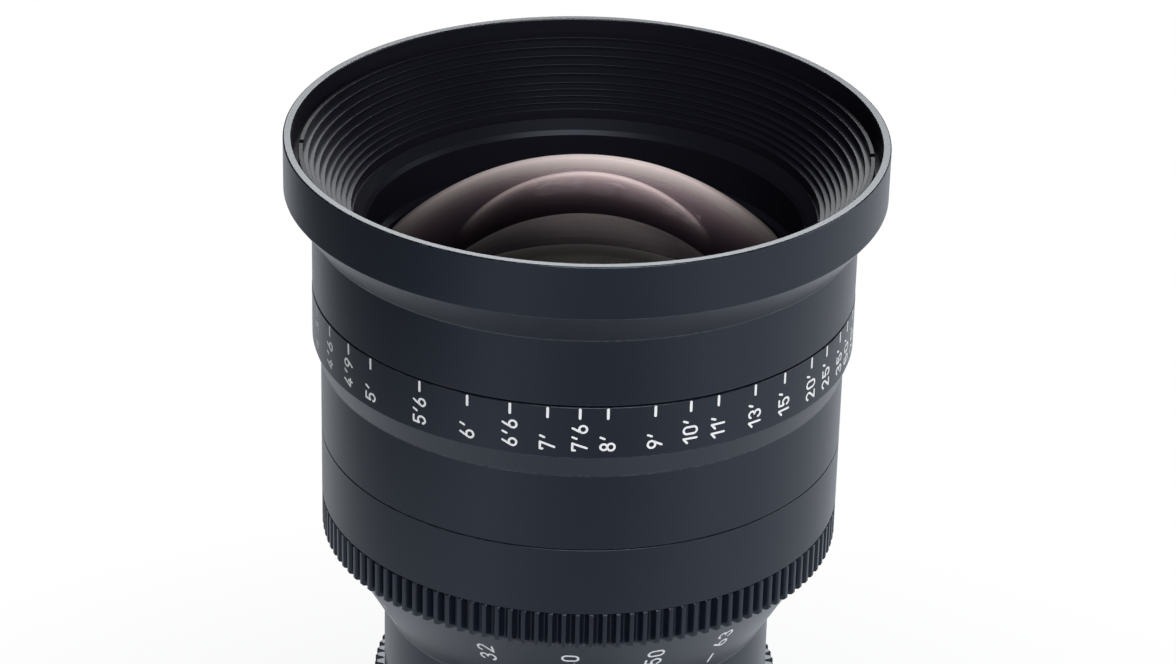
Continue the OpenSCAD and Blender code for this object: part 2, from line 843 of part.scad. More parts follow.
// Plate with a bore for each blade's pivot pin and a rim round the actuator ring
module iris_base_plate() {
    color(anodised)
        difference() {
            union() {
                tube(iris_plate_r, plate_aperture_r, z_iris_plate, plate_t);
                tube(iris_plate_r, iris_rim_bore_r, z_iris_plate, z_cover - z_iris_plate);
            }
            for (i = [0:blades - 1])
                rotate([0, 0, 360 * i / blades])
                    translate([pivot_r, 0, z_iris_plate - over])
                        cylinder(r = pivot_pin_r + pin_fit, h = plate_t + 2 * over, $fn = 24);
            rotate([0, 0, iris_key_angle])
                arc_slot(iris_key_r + ring_gap, iris_rim_bore_r - over, iris_plate_r + over,
                         z_iris_key, iris_turn);
        }
}

module iris_cover() {
    color(anodised)
        tube(iris_plate_r, plate_aperture_r, z_cover, cover_t);
}

// Cell of the rear group, with a flange clamped between the two barrels
module rear_cell() {
    color(matt_black)
        turned([
            [rear_bore_r, -rear_cell_depth], [rear_cell_r, -rear_cell_depth],
            [rear_cell_r, z_rear_flange], [rear_flange_r, z_rear_flange],
            [rear_flange_r, z_main], [rear_cell_r, z_main], [rear_cell_r, z_rear_cell_end],
            [rear_bore_r, z_rear_cell_end]
        ]);
}

// The rear group: each row is the front height, its curve, the back height and its curve
rear_group_shares = [
    [1.615, 2.895, 1.282, -10.53], [1.205, 2.105, 0.9, 6.316],
    [0.41, -3.158, 0.297, 2.632], [-0.053, 3.684, -0.579, -3.158]
];
module rear_element(i) {
    s = rear_group_shares[i];
    element(rear_glass_r, s[0] * rear_glass_r, s[1] * rear_glass_r, s[2] * rear_glass_r,
            s[3] * rear_glass_r);
}

// Height of the edge of a surface given by its height and curve on the axis
function edge_z(z, curve, r) = curve > 0 ? z - sag(curve, r) : z + sag(-curve, r);

// Rings between the rear elements, each seated on the edges of its neighbours
module rear_spacers() {
    bore = rear_glass_r - second_ring_w;
    color(matt_black)
        for (i = [0:2]) {
            upper = rear_group_shares[i] * rear_glass_r;
            lower = rear_group_shares[i + 1] * rear_glass_r;
            top = min(edge_z(upper[2], upper[3], rear_glass_r), edge_z(upper[2], upper[3], bore));
            foot = max(edge_z(lower[0], lower[1], rear_glass_r), edge_z(lower[0], lower[1], bore));
            tube(rear_glass_r, bore, foot + glass_gap, top - foot - 2 * glass_gap);
        }
}

module rear_retainer() {
    last = rear_group_shares[3] * rear_glass_r;
    bore = rear_glass_r - second_ring_w;
    top = edge_z(last[2], last[3], bore) - glass_gap;
    color(matt_black)
        tube(rear_glass_r, bore, -rear_cell_depth + edge, top + rear_cell_depth - edge);
}

// Rear shell: a waist at the mount, a cone and a cylinder that takes the main barrel
module rear_barrel() {
    waist_z = z_rear + rear_base_len;
    color(anodised)
        difference() {
            turned([
                [rear_base_bore_r, z_rear], [rear_base_r, z_rear], [rear_base_r, waist_z],
                [rear_r, waist_z + rear_cone_len], [rear_r, z_iris - edge], [rear_r - edge, z_iris],
                [rear_seat_r, z_iris], [rear_seat_r, z_rear_flange],
                [main_bore_r - iris_ledge, z_rear_flange],
                [main_bore_r - iris_ledge, waist_z + rear_cone_len],
                [rear_base_bore_r + edge, waist_z], [rear_base_bore_r, z_rear + rear_boss_len]
            ]);
            barrel_screw_places()
                radial_bar(set_screw_r + seat_fit, main_r - over, rear_r + over);
            mount_screw_places()
                translate([0, 0, z_rear - over])
                    cylinder(r = mount_screw_r + seat_fit, h = mount_screw_len + over, $fn = 24);
        }
}

// Places of the set screws, half way up the barrels' joint ledge
module barrel_screw_places() {
    for (i = [0:barrel_screws_n - 1])
        rotate([0, 0, 360 * i / barrel_screws_n])
            translate([0, 0, z_main + iris_floor / 2])
                children();
}

module barrel_screws() {
    outer = rear_r - head_sink;
    color(steel)
        barrel_screw_places()
            difference() {
                radial_bar(set_screw_r, outer - set_screw_len, outer, $fn = 32);
                translate([outer - socket_depth, 0, 0])
                    rotate([0, 90, 0])
                        cylinder(r = socket_r, h = socket_depth + over, $fn = 6);
            }
}

// Places of the mount screws, one in the middle of each lug
module mount_screw_places() {
    for (i = [0:lugs - 1])
        rotate([0, 0, 360 * (i + 0.5) / lugs])
            translate([mount_screw_circle, 0, 0])
                children();
}

module mount_shim() {
    color(brass)
        difference() {
            tube(rear_base_r, rear_base_bore_r, flange_t, shim_t);
            mount_screw_places()
                translate([0, 0, flange_t - over])
                    cylinder(r = mount_screw_r + seat_fit, h = shim_t + 2 * over, $fn = 24);
        }
}

// Flange with four notched lugs and the register tube, ridged inside against stray light
module lens_mount() {
    trap_n = floor((register_len - 2 * trap_pitch) / trap_pitch);
    bore = register_r - register_wall;
    traps = [
        for (i = [0:trap_n - 1], p = [[0, 0], [trap_depth, flank_share], [trap_depth, 1 - flank_share]])
            [bore + p[0], -register_len + (i + 1 + p[1]) * trap_pitch]
    ];
    color(steel)
        difference() {
            union() {
                turned(concat([[bore, flange_t], [register_r, flange_t],
                               [register_r, edge - register_len], [register_r - edge, -register_len],
                               [bore, -register_len]], traps));
                tube(lug_root_r, register_r - edge, 0, flange_t);
                for (i = [0:lugs - 1])
                    rotate([0, 0, 360 * (i + 0.5) / lugs - lug_span / 2])
                        rotate_extrude(angle = lug_span)
                            translate([lug_root_r - edge, 0])
                                square([lug_r - lug_root_r + edge, flange_t]);
            }
            for (i = [0:lugs - 1])
                rotate([0, 0, 360 * (i + 0.5) / lugs])
                    translate([lug_r - locating_depth, -locating_w / 2, -over])
                        cube([locating_depth + over, locating_w, flange_t + 2 * over]);
            mount_screw_places() {
                translate([0, 0, -over])
                    cylinder(r = mount_screw_r + seat_fit, h = flange_t + 2 * over, $fn = 24);
                translate([0, 0, -over])
                    cylinder(r = mount_head_r + seat_fit, h = mount_head_h + head_sink + over, $fn = 32);
            }
        }
}

module mount_screws() {
    color(steel)
        mount_screw_places() {
            difference() {
                translate([0, 0, head_sink])
                    cylinder(r = mount_head_r, h = mount_head_h, $fn = 32);
                translate([0, 0, head_sink - over])
                    cylinder(r = socket_r, h = socket_depth + over, $fn = 6);
            }
            translate([0, 0, head_sink + mount_head_h])
                cylinder(r = mount_screw_r,
                         h = z_rear + mount_screw_len - mount_head_h - head_sink - edge, $fn = 24);
        }
}

// Focus ring

// Outer ring: scale band, bevel and grip, with a lip in front of the sleeve
module focus_ring() {
    color(anodised)
        turned([
            [ring_bore_r, z_grip], [grip_r - edge / 2, z_grip], [grip_r, z_grip + edge / 2],
            [grip_r, z_bevel], [scale_r, z_scale], [scale_r, z_focus_end - edge / 2],
            [scale_r - edge / 2, z_focus_end], [guide_r + ring_gap, z_focus_end],
            [guide_r + ring_gap, z_sleeve_end], [ring_bore_r, z_sleeve_end]
        ]);
}

// Drive teeth under a smooth band, with a groove between them
module focus_gear_ring() {
    tip = gear_tip(focus_teeth) - focus_tip_cut;
    groove_r = gear_root(focus_teeth) - gear_groove_depth;
    groove_z = z_gear_band - gear_groove_w;
    band = [
        [0, groove_z], [groove_r, groove_z], [groove_r, z_gear_band], [grip_r, z_gear_band],
        [grip_r, z_grip - edge / 2], [grip_r - edge / 2, z_grip], [0, z_grip]
    ];
    color(anodised)
        gear_ring(focus_teeth, tip, focus_gear_phase, z_gear, focus_face - gear_groove_w, band,
                  ring_bore_r, z_gear, z_grip);
}

// Sleeve inside the focus ring, with the helical groove that drives the focus cell
module focus_cam_sleeve() {
    color(anodised)
        difference() {
            tube(sleeve_r, sleeve_bore_r, z_sleeve, z_sleeve_end - z_sleeve);
            helical_slot(follower_r, sleeve_bore_r - over, sleeve_r + over, z_focus_pin,
                         focus_travel, focus_turn);
        }
}

// Sliding cell of the focusing doublet: skirt, web and hub
module focus_cell() {
    skirt = focus_cell_r - focus_cell_wall;
    hub = focus_glass_r + focus_cell_wall;
    bore = focus_glass_r + seat_fit;
    lip = focus_glass_r - second_ring_w;
    web = follower_r + ring_gap;
    lip_z = z_focus_back + sag(focus_back_curve, lip) - glass_gap;
    end = z_focus_cell + focus_cell_len;
    color(matt_black)
        difference() {
            turned([
                [lip, lip_z - focus_cell_wall], [hub, lip_z - focus_cell_wall],
                [hub, z_focus_pin - web], [skirt, z_focus_pin - web], [skirt, z_focus_cell],
                [focus_cell_r, z_focus_cell], [focus_cell_r, end], [skirt, end],
                [skirt, z_focus_pin + web], [hub, z_focus_pin + web],
                [hub, end - focus_glass_depth - edge], [bore, end - focus_glass_depth - edge],
                [bore, lip_z], [lip, lip_z]
            ]);
            translate([0, 0, z_focus_pin])
                radial_bar(follower_r / 2 + seat_fit, hub + focus_cell_wall, focus_cell_r + over);
        }
}

module focus_element_1() {
    element(focus_glass_r, z_focus_glass, focus_curve, z_focus_mid, -focus_mid_curve);
}

module focus_element_2() {
    element(focus_glass_r, z_focus_mid - cement, -focus_mid_curve, z_focus_back, -focus_back_curve);
}

module focus_retainer() {
    bore = focus_glass_r - second_ring_w;
    foot = z_focus_glass - sag(focus_curve, bore) + glass_gap;
    color(matt_black)
        tube(focus_glass_r, bore, foot, second_ring_h);
}

// Pin that is screwed into the focus cell and runs in both slots
module focus_follower() {
    skirt = focus_cell_r - focus_cell_wall;
    color(brass)
        translate([0, 0, z_focus_pin]) {
            radial_bar(follower_r / 2, skirt - edge, focus_cell_r + edge, $fn = 32);
            radial_bar(follower_r, focus_cell_r + run_fit, sleeve_r - edge, $fn = 48);
        }
}

// Zoom ring

// Cylinder and cone that carry the focal length scale
module zoom_ring() {
    color(anodised)
        difference() {
            turned([
                [main_r + run_fit, z_zoom], [zoom_seat_r, z_zoom],
                [zoom_seat_r, z_zoom + small_ring_len], [zoom_r, z_zoom + small_ring_len],
                [zoom_r, z_cone], [cone_r, z_cone_end], [cone_r - cone_wall, z_cone_end],
                [main_r + run_fit, z_cone_end - (cone_r - cone_wall - main_r - run_fit) / cone_slope]
            ]);
            rotate([0, 0, key_angle])
                translate([0, 0, z_key])
                    radial_bar(key_r + seat_fit, main_r - over, zoom_seat_r + over);
        }
}

// Smooth band behind drive teeth, with a groove between them, for the zoom and iris rings
module small_gear_ring(n, bore, z0) {
    band_r = gear_tip(n) - band_drop;
    groove_r = gear_root(n) - gear_groove_depth;
    teeth_z = z0 + small_band;
    band = [
        [0, z0], [band_r, z0], [band_r, teeth_z - gear_groove_w],
        [groove_r, teeth_z - gear_groove_w], [groove_r, teeth_z], [0, teeth_z]
    ];
    color(anodised)
        gear_ring(n, gear_tip(n), 0, teeth_z, small_face, band, bore, z0, teeth_z + small_face);
}

module zoom_gear_ring() {
    small_gear_ring(zoom_teeth, zoom_seat_r + seat_fit, z_zoom);
}

// Turning tube with three helical slots for each sliding cell
module zoom_cam_tube() {
    color(brass)
        difference() {
            tube(cam_r, cam_bore_r, z_cam, z_cam_end - z_cam);
            for (i = [0:followers - 1])
                rotate([0, 0, 360 * i / followers]) {
                    helical_slot(follower_r, cam_bore_r - over, cam_r + over, z_variator_pin,
                                 variator_travel, zoom_turn);
                    helical_slot(small_follower_r, cam_bore_r - over, cam_r + over,
                                 z_compensator_pin, compensator_travel, zoom_turn);
                }
            rotate([0, 0, key_angle])
                translate([0, 0, z_key])
                    radial_bar(key_r + seat_fit, cam_bore_r - over, cam_r + over);
        }
}

// Pin that ties the zoom ring to the cam tube through the main barrel's slot
module zoom_drive_key() {
    color(steel)
        rotate([0, 0, key_angle])
            translate([0, 0, z_key])
                radial_bar(key_r, cam_bore_r + ring_gap, zoom_seat_r - seat_fit, $fn = 32);
}

// Sliding cells of the zoom

// A cell with a bore for its glass, a lip behind it and holes for its pins
module zoom_cell(bore, z0, z1, lip_z, pin_z, pin_r) {
    relief = pin_r + ring_gap;
    waist = bore + focus_cell_wall;
    color(matt_black)
        difference() {
            turned([
                [bore - second_ring_w, lip_z], [bore - second_ring_w, z0], [cell_r, z0],
                [cell_r, z1], [cell_r - focus_cell_wall, z1],
                [cell_r - focus_cell_wall, pin_z + relief], [waist, pin_z + relief],
                [waist, z1 - edge], [bore, z1 - edge], [bore, lip_z]
            ]);
            for (i = [0:followers - 1])
                rotate([0, 0, 360 * i / followers])
                    translate([0, 0, pin_z])
                        radial_bar(pin_r / 2 + seat_fit, waist + seat_fit, cell_r + over);
        }
}

// Follower pins of a zoom cell
module zoom_followers(pin_z, pin_r) {
    color(brass)
        for (i = [0:followers - 1])
            rotate([0, 0, 360 * i / followers])
                translate([0, 0, pin_z]) {
                    radial_bar(pin_r / 2, cell_r - focus_cell_wall, cell_r + edge, $fn = 32);
                    radial_bar(pin_r, cell_r + run_fit, cam_r - seat_fit, $fn = 48);
                }
}

// Variator elements, as heights and curves in shares of their radius above the pins
variator_shares = [
    [0.429, 3.333, 0.324, 2.143], [-0.052, -4.286, -0.138, 3.571], [-0.141, 3.571, -0.343, 0]
];
// Compensator elements, in the same form
compensator_shares = [[0.297, 3.243, -0.108, -2.703], [-0.111, -2.703, -0.238, 0]];
module zoom_element(r, pin_z, s) {
    element(r, pin_z + s[0] * r, s[1] * r, pin_z + s[2] * r, s[3] * r);
}

module variator_cell() {
    lip_z = z_variator_pin + variator_shares[2][2] * variator_glass_r - glass_gap;
    zoom_cell(variator_glass_r + seat_fit, z_variator, z_variator_end, lip_z, z_variator_pin,
              follower_r);
}

module variator_element_1() {
    zoom_element(variator_glass_r, z_variator_pin, variator_shares[0]);
}

module variator_element_2() {
    zoom_element(variator_glass_r, z_variator_pin, variator_shares[1]);
}

module variator_element_3() {
    zoom_element(variator_glass_r, z_variator_pin, variator_shares[2]);
}

// Threaded ring in front of the first element of a zoom cell
module zoom_retainer(r, pin_z, s) {
    bore = r - second_ring_w;
    foot = pin_z + s[0] * r - sag(s[1] * r, bore) + glass_gap;
    color(matt_black)
        tube(r, bore, foot, second_ring_h / 2);
}

module variator_retainer() {
    zoom_retainer(variator_glass_r, z_variator_pin, variator_shares[0]);
}

module variator_followers() {
    zoom_followers(z_variator_pin, follower_r);
}

module compensator_cell() {
    lip_z = z_compensator_pin + compensator_shares[1][2] * compensator_glass_r - glass_gap;
    zoom_cell(compensator_glass_r + seat_fit, z_compensator, z_compensator_end, lip_z,
              z_compensator_pin, small_follower_r);
}

module compensator_element_1() {
    zoom_element(compensator_glass_r, z_compensator_pin, compensator_shares[0]);
}

module compensator_element_2() {
    zoom_element(compensator_glass_r, z_compensator_pin, compensator_shares[1]);
}

module compensator_retainer() {
    zoom_retainer(compensator_glass_r, z_compensator_pin, compensator_shares[0]);
}

module compensator_followers() {
    zoom_followers(z_compensator_pin, small_follower_r);
}

// Iris

module iris_ring() {
    color(anodised)
        difference() {
            turned([
                [main_r + run_fit, z_iris_ring], [iris_seat_r, z_iris_ring],
                [iris_seat_r, z_iris_ring + small_ring_len],
                [iris_ring_r, z_iris_ring + small_ring_len],
                [iris_ring_r, z_band - ring_gap], [main_r + run_fit, z_band - ring_gap]
            ]);
            rotate([0, 0, iris_key_angle])
                translate([0, 0, z_iris_key])
                    radial_bar(iris_key_r + seat_fit, main_r - over, iris_seat_r + over);
        }
}

module iris_gear_ring() {
    small_gear_ring(iris_teeth, iris_seat_r + seat_fit, z_iris_ring);
}

module iris_drive_key() {
    color(steel)
        rotate([0, 0, iris_key_angle])
            translate([0, 0, z_iris_key])
                radial_bar(iris_key_r, actuator_r - drive_arm / 2, iris_seat_r - seat_fit, $fn = 24);
}

// Place of a blade's drive pin, for a blade at azimuth 0 that has turned by t
function drive_pin_place(t) = [pivot_r + drive_arm * sin(t), -drive_arm * cos(t)];
// The same place as seen from the actuator ring, which has turned with it
function cam_point(share) =
    let (p = drive_pin_place(blade_turn * share), a = atan2(p[1], p[0]) - iris_turn * share,
         r = norm(p))
    [r * cos(a), r * sin(a)];
// Unit vector across the cam slot at a share of its run
function cam_across(share) =
    let (step = 1 / cam_points, d = cam_point(share + step) - cam_point(share - step))
    [-d[1], d[0]] / norm(d);

// Slot of the actuator ring, with round ends, that steers one blade
module cam_slot() {
    half = drive_pin_r + pin_fit;
    shares = [for (i = [0:cam_points]) i / cam_points];
    left = [for (s = shares) cam_point(s) + half * cam_across(s)];
    right = [for (i = [cam_points:-1:0]) cam_point(shares[i]) - half * cam_across(shares[i])];
    translate([0, 0, z_actuator - over]) {
        linear_extrude(height = actuator_t + 2 * over)
            polygon(concat(left, right));
        for (s = [0, 1])
            translate(cam_point(s))
                cylinder(r = half, h = actuator_t + 2 * over, $fn = 24);
    }
}

// Ring that turns with the iris ring and swings all the blades at once
module iris_actuator_ring() {
    color(steel)
        difference() {
            tube(actuator_r, actuator_bore_r, z_actuator, actuator_t);
            for (i = [0:blades - 1])
                rotate([0, 0, 360 * i / blades])
                    cam_slot();
            rotate([0, 0, iris_key_angle])
                translate([0, 0, z_iris_key])
                    radial_bar(iris_key_r + seat_fit, actuator_r - drive_arm / 2 - seat_fit,
                               actuator_r + over, $fn = 24);
        }
}

// Crescent blade with an arm round its pivot, a pivot pin below and a drive pin above
module iris_blade(i) {
    z = z_blades + i * blade_pitch;
    drive = drive_pin_place(0);
    start = blade_start_share * 360 / blades;
    pivot = [pivot_r, 0];
    across = boss_r * [cos(arm_lean), sin(arm_lean)];
    roots = [for (s = arm_shares) [aperture_r + s[0] * blade_w, s[1] * blade_w]];
    color(steel)
        rotate([0, 0, 360 * i / blades]) {
            translate([0, 0, z]) {
                rotate([0, 0, start])
                    rotate_extrude(angle = blade_reach - start)
                        translate([aperture_r, 0])
                            square([blade_w, blade_t]);
                linear_extrude(height = blade_t)
                    polygon([pivot - across, pivot + across, roots[0], roots[1]]);
                linear_extrude(height = blade_t)
                    polygon([pivot - [across[0], 0], drive - [tail_r, 0], drive + [tail_r, 0],
                             pivot + [across[0], 0]]);
                translate(pivot)
                    cylinder(r = boss_r, h = blade_t, $fn = 32);
                translate(drive)
                    cylinder(r = tail_r, h = blade_t, $fn = 32);
            }
            translate([pivot_r, 0, z_iris_plate + edge])
                cylinder(r = pivot_pin_r, h = z + blade_t / 2 - z_iris_plate - edge, $fn = 24);
            translate([drive[0], drive[1], z + blade_t / 2])
                cylinder(r = drive_pin_r, h = z_actuator_end - blade_air - z - blade_t / 2, $fn = 24);
        }
}

front_barrel();
front_baffle();
front_cell();
front_element();
second_element();
front_retainer();
second_retainer();
focus_guide_barrel();
main_barrel();
zoom_guide_tube();
guide_tube_ring();
iris_base_plate();
iris_cover();
rear_cell();
rear_element(0);  // rear_element_1
rear_element(1);  // rear_element_2
rear_element(2);  // rear_element_3
rear_element(3);  // rear_element_4
rear_spacers();
rear_retainer();
rear_barrel();
barrel_screws();
mount_shim();
lens_mount();
mount_screws();
focus_ring();
focus_gear_ring();
focus_cam_sleeve();
focus_cell();
focus_element_1();
focus_element_2();
focus_retainer();
focus_follower();
zoom_ring();
zoom_gear_ring();
zoom_cam_tube();
zoom_drive_key();
variator_cell();
variator_element_1();
variator_element_2();
variator_element_3();
variator_retainer();
variator_followers();
compensator_cell();
compensator_element_1();
compensator_element_2();
compensator_retainer();
compensator_followers();
iris_ring();
iris_gear_ring();
iris_drive_key();
iris_actuator_ring();
iris_blade(0);  // iris_blade_1
iris_blade(1);  // iris_blade_2
iris_blade(2);  // iris_blade_3
iris_blade(3);  // iris_blade_4
iris_blade(4);  // iris_blade_5
iris_blade(5);  // iris_blade_6
iris_blade(6);  // iris_blade_7
iris_blade(7);  // iris_blade_8
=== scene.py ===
import logging
import math
from collections.abc import Callable
from dataclasses import dataclass, field
from enum import Enum, StrEnum

import bpy
from bpy.types import ID, Material, Mesh, MeshPolygon, Node, NodeSocket, NodeTree, Object
from mathutils import Matrix, Vector


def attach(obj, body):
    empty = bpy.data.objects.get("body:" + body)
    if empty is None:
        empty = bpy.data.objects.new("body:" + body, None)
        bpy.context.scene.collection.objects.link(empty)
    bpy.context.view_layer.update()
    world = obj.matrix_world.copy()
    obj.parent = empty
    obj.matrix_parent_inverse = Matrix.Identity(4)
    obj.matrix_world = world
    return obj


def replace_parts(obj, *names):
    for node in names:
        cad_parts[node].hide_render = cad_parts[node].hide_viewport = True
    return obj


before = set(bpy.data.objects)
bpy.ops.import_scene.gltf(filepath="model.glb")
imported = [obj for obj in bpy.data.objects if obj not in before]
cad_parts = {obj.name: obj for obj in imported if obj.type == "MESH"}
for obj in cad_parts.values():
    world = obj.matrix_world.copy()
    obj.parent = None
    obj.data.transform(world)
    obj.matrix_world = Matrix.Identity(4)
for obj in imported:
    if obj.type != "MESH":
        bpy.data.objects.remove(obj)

LOG = logging.getLogger("cinema_zoom_lens")
MM = 0.001
TINY = 1e-6

Point = tuple[float, float]
Triple = tuple[float, float, float]

FULL = (0.0, 1.0)
BLACK = (0.0, 0.0, 0.0)
WHITE = (1.0, 1.0, 1.0)


class Body(StrEnum):
    """The CAD bodies that carry the pieces made here."""

    BARREL = "barrel"
    FOCUS = "focus_ring_body"
    ZOOM = "zoom_ring_body"
    IRIS = "iris_ring_body"


class Slot(StrEnum):
    """Labels for the finishes of the pieces made here, which the pieces keep but no material
    slot takes.
    """

    BARREL = "barrel_anodised"
    RING = "ring_anodised"
    BAFFLE = "baffle_black"
    CELL = "cell_black"
    GLASS = "front_glass"


# Stations along the axis, in millimetres from the mount's flange plane

Z_RIM = 198.0
Z_COLLAR = 187.7
Z_CELL_END = 181.45
Z_TAPER = 180.8
Z_NECK = 167.6
Z_FOCUS_END = 167.3
Z_SCALE = 157.0
Z_BEVEL = 152.4
Z_GRIP = 136.8
Z_GEAR_BAND = 123.2
Z_GEAR = 115.7
Z_CONE_END = 115.2
Z_CONE = 98.3
Z_ZOOM = 70.3
Z_BAND = 64.3
Z_IRIS_RING = 38.3
REGISTER_LEN = 17.5

# Azimuth of the index marks, in degrees from the front towards +X
INDEX_AZIMUTH = 97.0

# Sections of the widest turned pieces
WIDE_SEGMENTS = 360

# Drive gears and running fits, in millimetres
GEAR_MODULE = 0.8
PRESSURE_ANGLE = math.radians(20)
ROOT_DEPTH_SHARE = 1.25
FIT_GAP = 0.04


# Node trees


def rgba(colour: Triple) -> tuple[float, float, float, float]:
    """A linear colour with full opacity."""
    return (*colour, 1.0)


@dataclass(frozen=True)
class Graph:
    """A node tree, with short ways to add linked nodes to it."""

    tree: NodeTree

    def feed(self, node: Node, inputs: dict[str | int, object]) -> None:
        """Fills some inputs of a node.

        Args:
            node: the node.
            inputs: for each input's name or number, the socket or the constant that fills it.
        """
        for key, value in inputs.items():
            if isinstance(value, NodeSocket):
                self.tree.links.new(value, node.inputs[key])
            else:
                node.inputs[key].default_value = value

    def node(self, kind: str, inputs: dict[str | int, object] | None = None,
             **settings: object) -> Node:
        """Adds a node.

        Args:
            kind: its type, without the words that begin the type of every shader node.
            inputs: what fills its inputs.
            settings: its attributes.
        Returns:
            The node.
        """
        node = self.tree.nodes.new("ShaderNode" + kind)
        for key, value in settings.items():
            setattr(node, key, value)
        self.feed(node, inputs or {})
        return node

    def noise(self, place: NodeSocket, scale: float, detail: float = 2.0) -> NodeSocket:
        """A noise of the given scale and detail."""
        node = self.node("TexNoise", {"Vector": place, "Scale": scale, "Detail": detail})
        return node.outputs["Fac"]

    def maths(self, operation: str, first: object, second: object,
              clamp: bool = False) -> NodeSocket:
        """The result of an operation on two sockets or constants."""
        node = self.node("Math", {0: first, 1: second}, operation=operation, use_clamp=clamp)
        return node.outputs["Value"]

    def mix(self, share: NodeSocket, first: object, second: object) -> NodeSocket:
        """A colour between two, each of them a socket or a constant."""
        node = self.node("Mix", {0: share, 6: first, 7: second}, data_type="RGBA")
        return node.outputs[2]

    def remap(self, value: NodeSocket, source: Point, target: Point,
              ease: str = "LINEAR") -> NodeSocket:
        """Maps one range of a value onto another.

        Args:
            value: the value.
            source: the range that it comes from.
            target: the range that it goes to.
            ease: how it goes between the two ends.
        Returns:
            The mapped value.
        """
        node = self.node("MapRange", {
            "Value": value, "From Min": source[0], "From Max": source[1],
            "To Min": target[0], "To Max": target[1],
        }, interpolation_type=ease)
        return node.outputs["Result"]

    def blend(self, share: NodeSocket, first: NodeSocket, second: NodeSocket) -> NodeSocket:
        """A surface between two."""
        return self.node("MixShader", {"Fac": share, 1: first, 2: second}).outputs["Shader"]

    def bump(self, height: NodeSocket, strength: float, distance: float) -> NodeSocket:
        """The normal that a height gives."""
        node = self.node("Bump", {"Height": height, "Strength": strength, "Distance": distance})
        return node.outputs["Normal"]

    def seen_ray(self) -> NodeSocket:
        """One for rays from the camera, also through glass, and zero for others."""
        path = self.node("LightPath")
        return self.maths("MAXIMUM", path.outputs["Is Camera Ray"],
                          path.outputs["Is Transmission Ray"])


def fresh_material(name: str) -> tuple[Material, Graph, Node]:
    """Makes a node material.

    Args:
        name: the material's name.
    Returns:
        The material, its node tree and its Principled shader.
    """
    material = bpy.data.materials.new(name)
    material.use_nodes = True
    tree = material.node_tree
    return material, Graph(tree), tree.nodes["Principled BSDF"]


# Finishes


@dataclass(frozen=True)
class MetalFinish:
    """A satin metal skin with a fine blasted texture, soft colour drift and worn edges."""

    name: str
    colour: Triple
    drift: Triple
    worn: Triple
    metallic: float = 0.0
    rough: Point = (0.25, 0.27)
    specular: float = 0.5
    gloss_tint: Triple = (0.78, 0.88, 1.0)
    drift_per_metre: float = 25.0
    grain_per_metre: float = 9000.0
    grain_height: float = 0.000006
    grain_strength: float = 0.15
    turned_per_metre: float = 0.0
    turned_wobble: float = 1.5
    turned_detail: float = 2.0
    wear: float = 0.5
    wear_per_metre: float = 900.0
    wear_detail: float = 3.0
    wear_range: Point = (0.35, 0.7)

    def material(self) -> Material:
        """Builds the finish as a node material.

        Returns:
            The material.
        """
        material, graph, shader = fresh_material(self.name)
        place = graph.node("TexCoord").outputs["Object"]
        cloud = graph.noise(place, self.drift_per_metre)
        clean = graph.mix(cloud, rgba(self.colour), rgba(self.drift))
        edge = graph.node("Attribute", attribute_name="edge_wear").outputs["Fac"]
        speck = graph.noise(place, self.wear_per_metre, self.wear_detail)
        rub = graph.maths("MULTIPLY", edge, graph.remap(speck, self.wear_range, FULL))
        rubbed = graph.maths("MULTIPLY", rub, self.wear)
        graph.feed(shader, {
            "Metallic": self.metallic,
            "Specular IOR Level": self.specular,
            "Specular Tint": rgba(self.gloss_tint),
            "Base Color": graph.mix(rubbed, clean, rgba(self.worn)),
            "Roughness": graph.remap(cloud, FULL, self.rough),
            "Normal": graph.bump(self.relief(graph, place), self.grain_strength,
                                 self.grain_height),
        })
        return material

    def relief(self, graph: Graph, place: NodeSocket) -> NodeSocket:
        """The blasted grain, with turning marks along the axis where the finish has them.

        Args:
            graph: the material's node tree.
            place: its texture coordinates.
        Returns:
            The height of the skin.
        """
        grain = graph.noise(place, self.grain_per_metre)
        if not self.turned_per_metre:
            return grain
        marks = graph.node("TexWave", {
            "Vector": place, "Scale": self.turned_per_metre,
            "Distortion": self.turned_wobble, "Detail": self.turned_detail,
        }, bands_direction="Z")
        return graph.maths("ADD", grain, marks.outputs["Fac"])


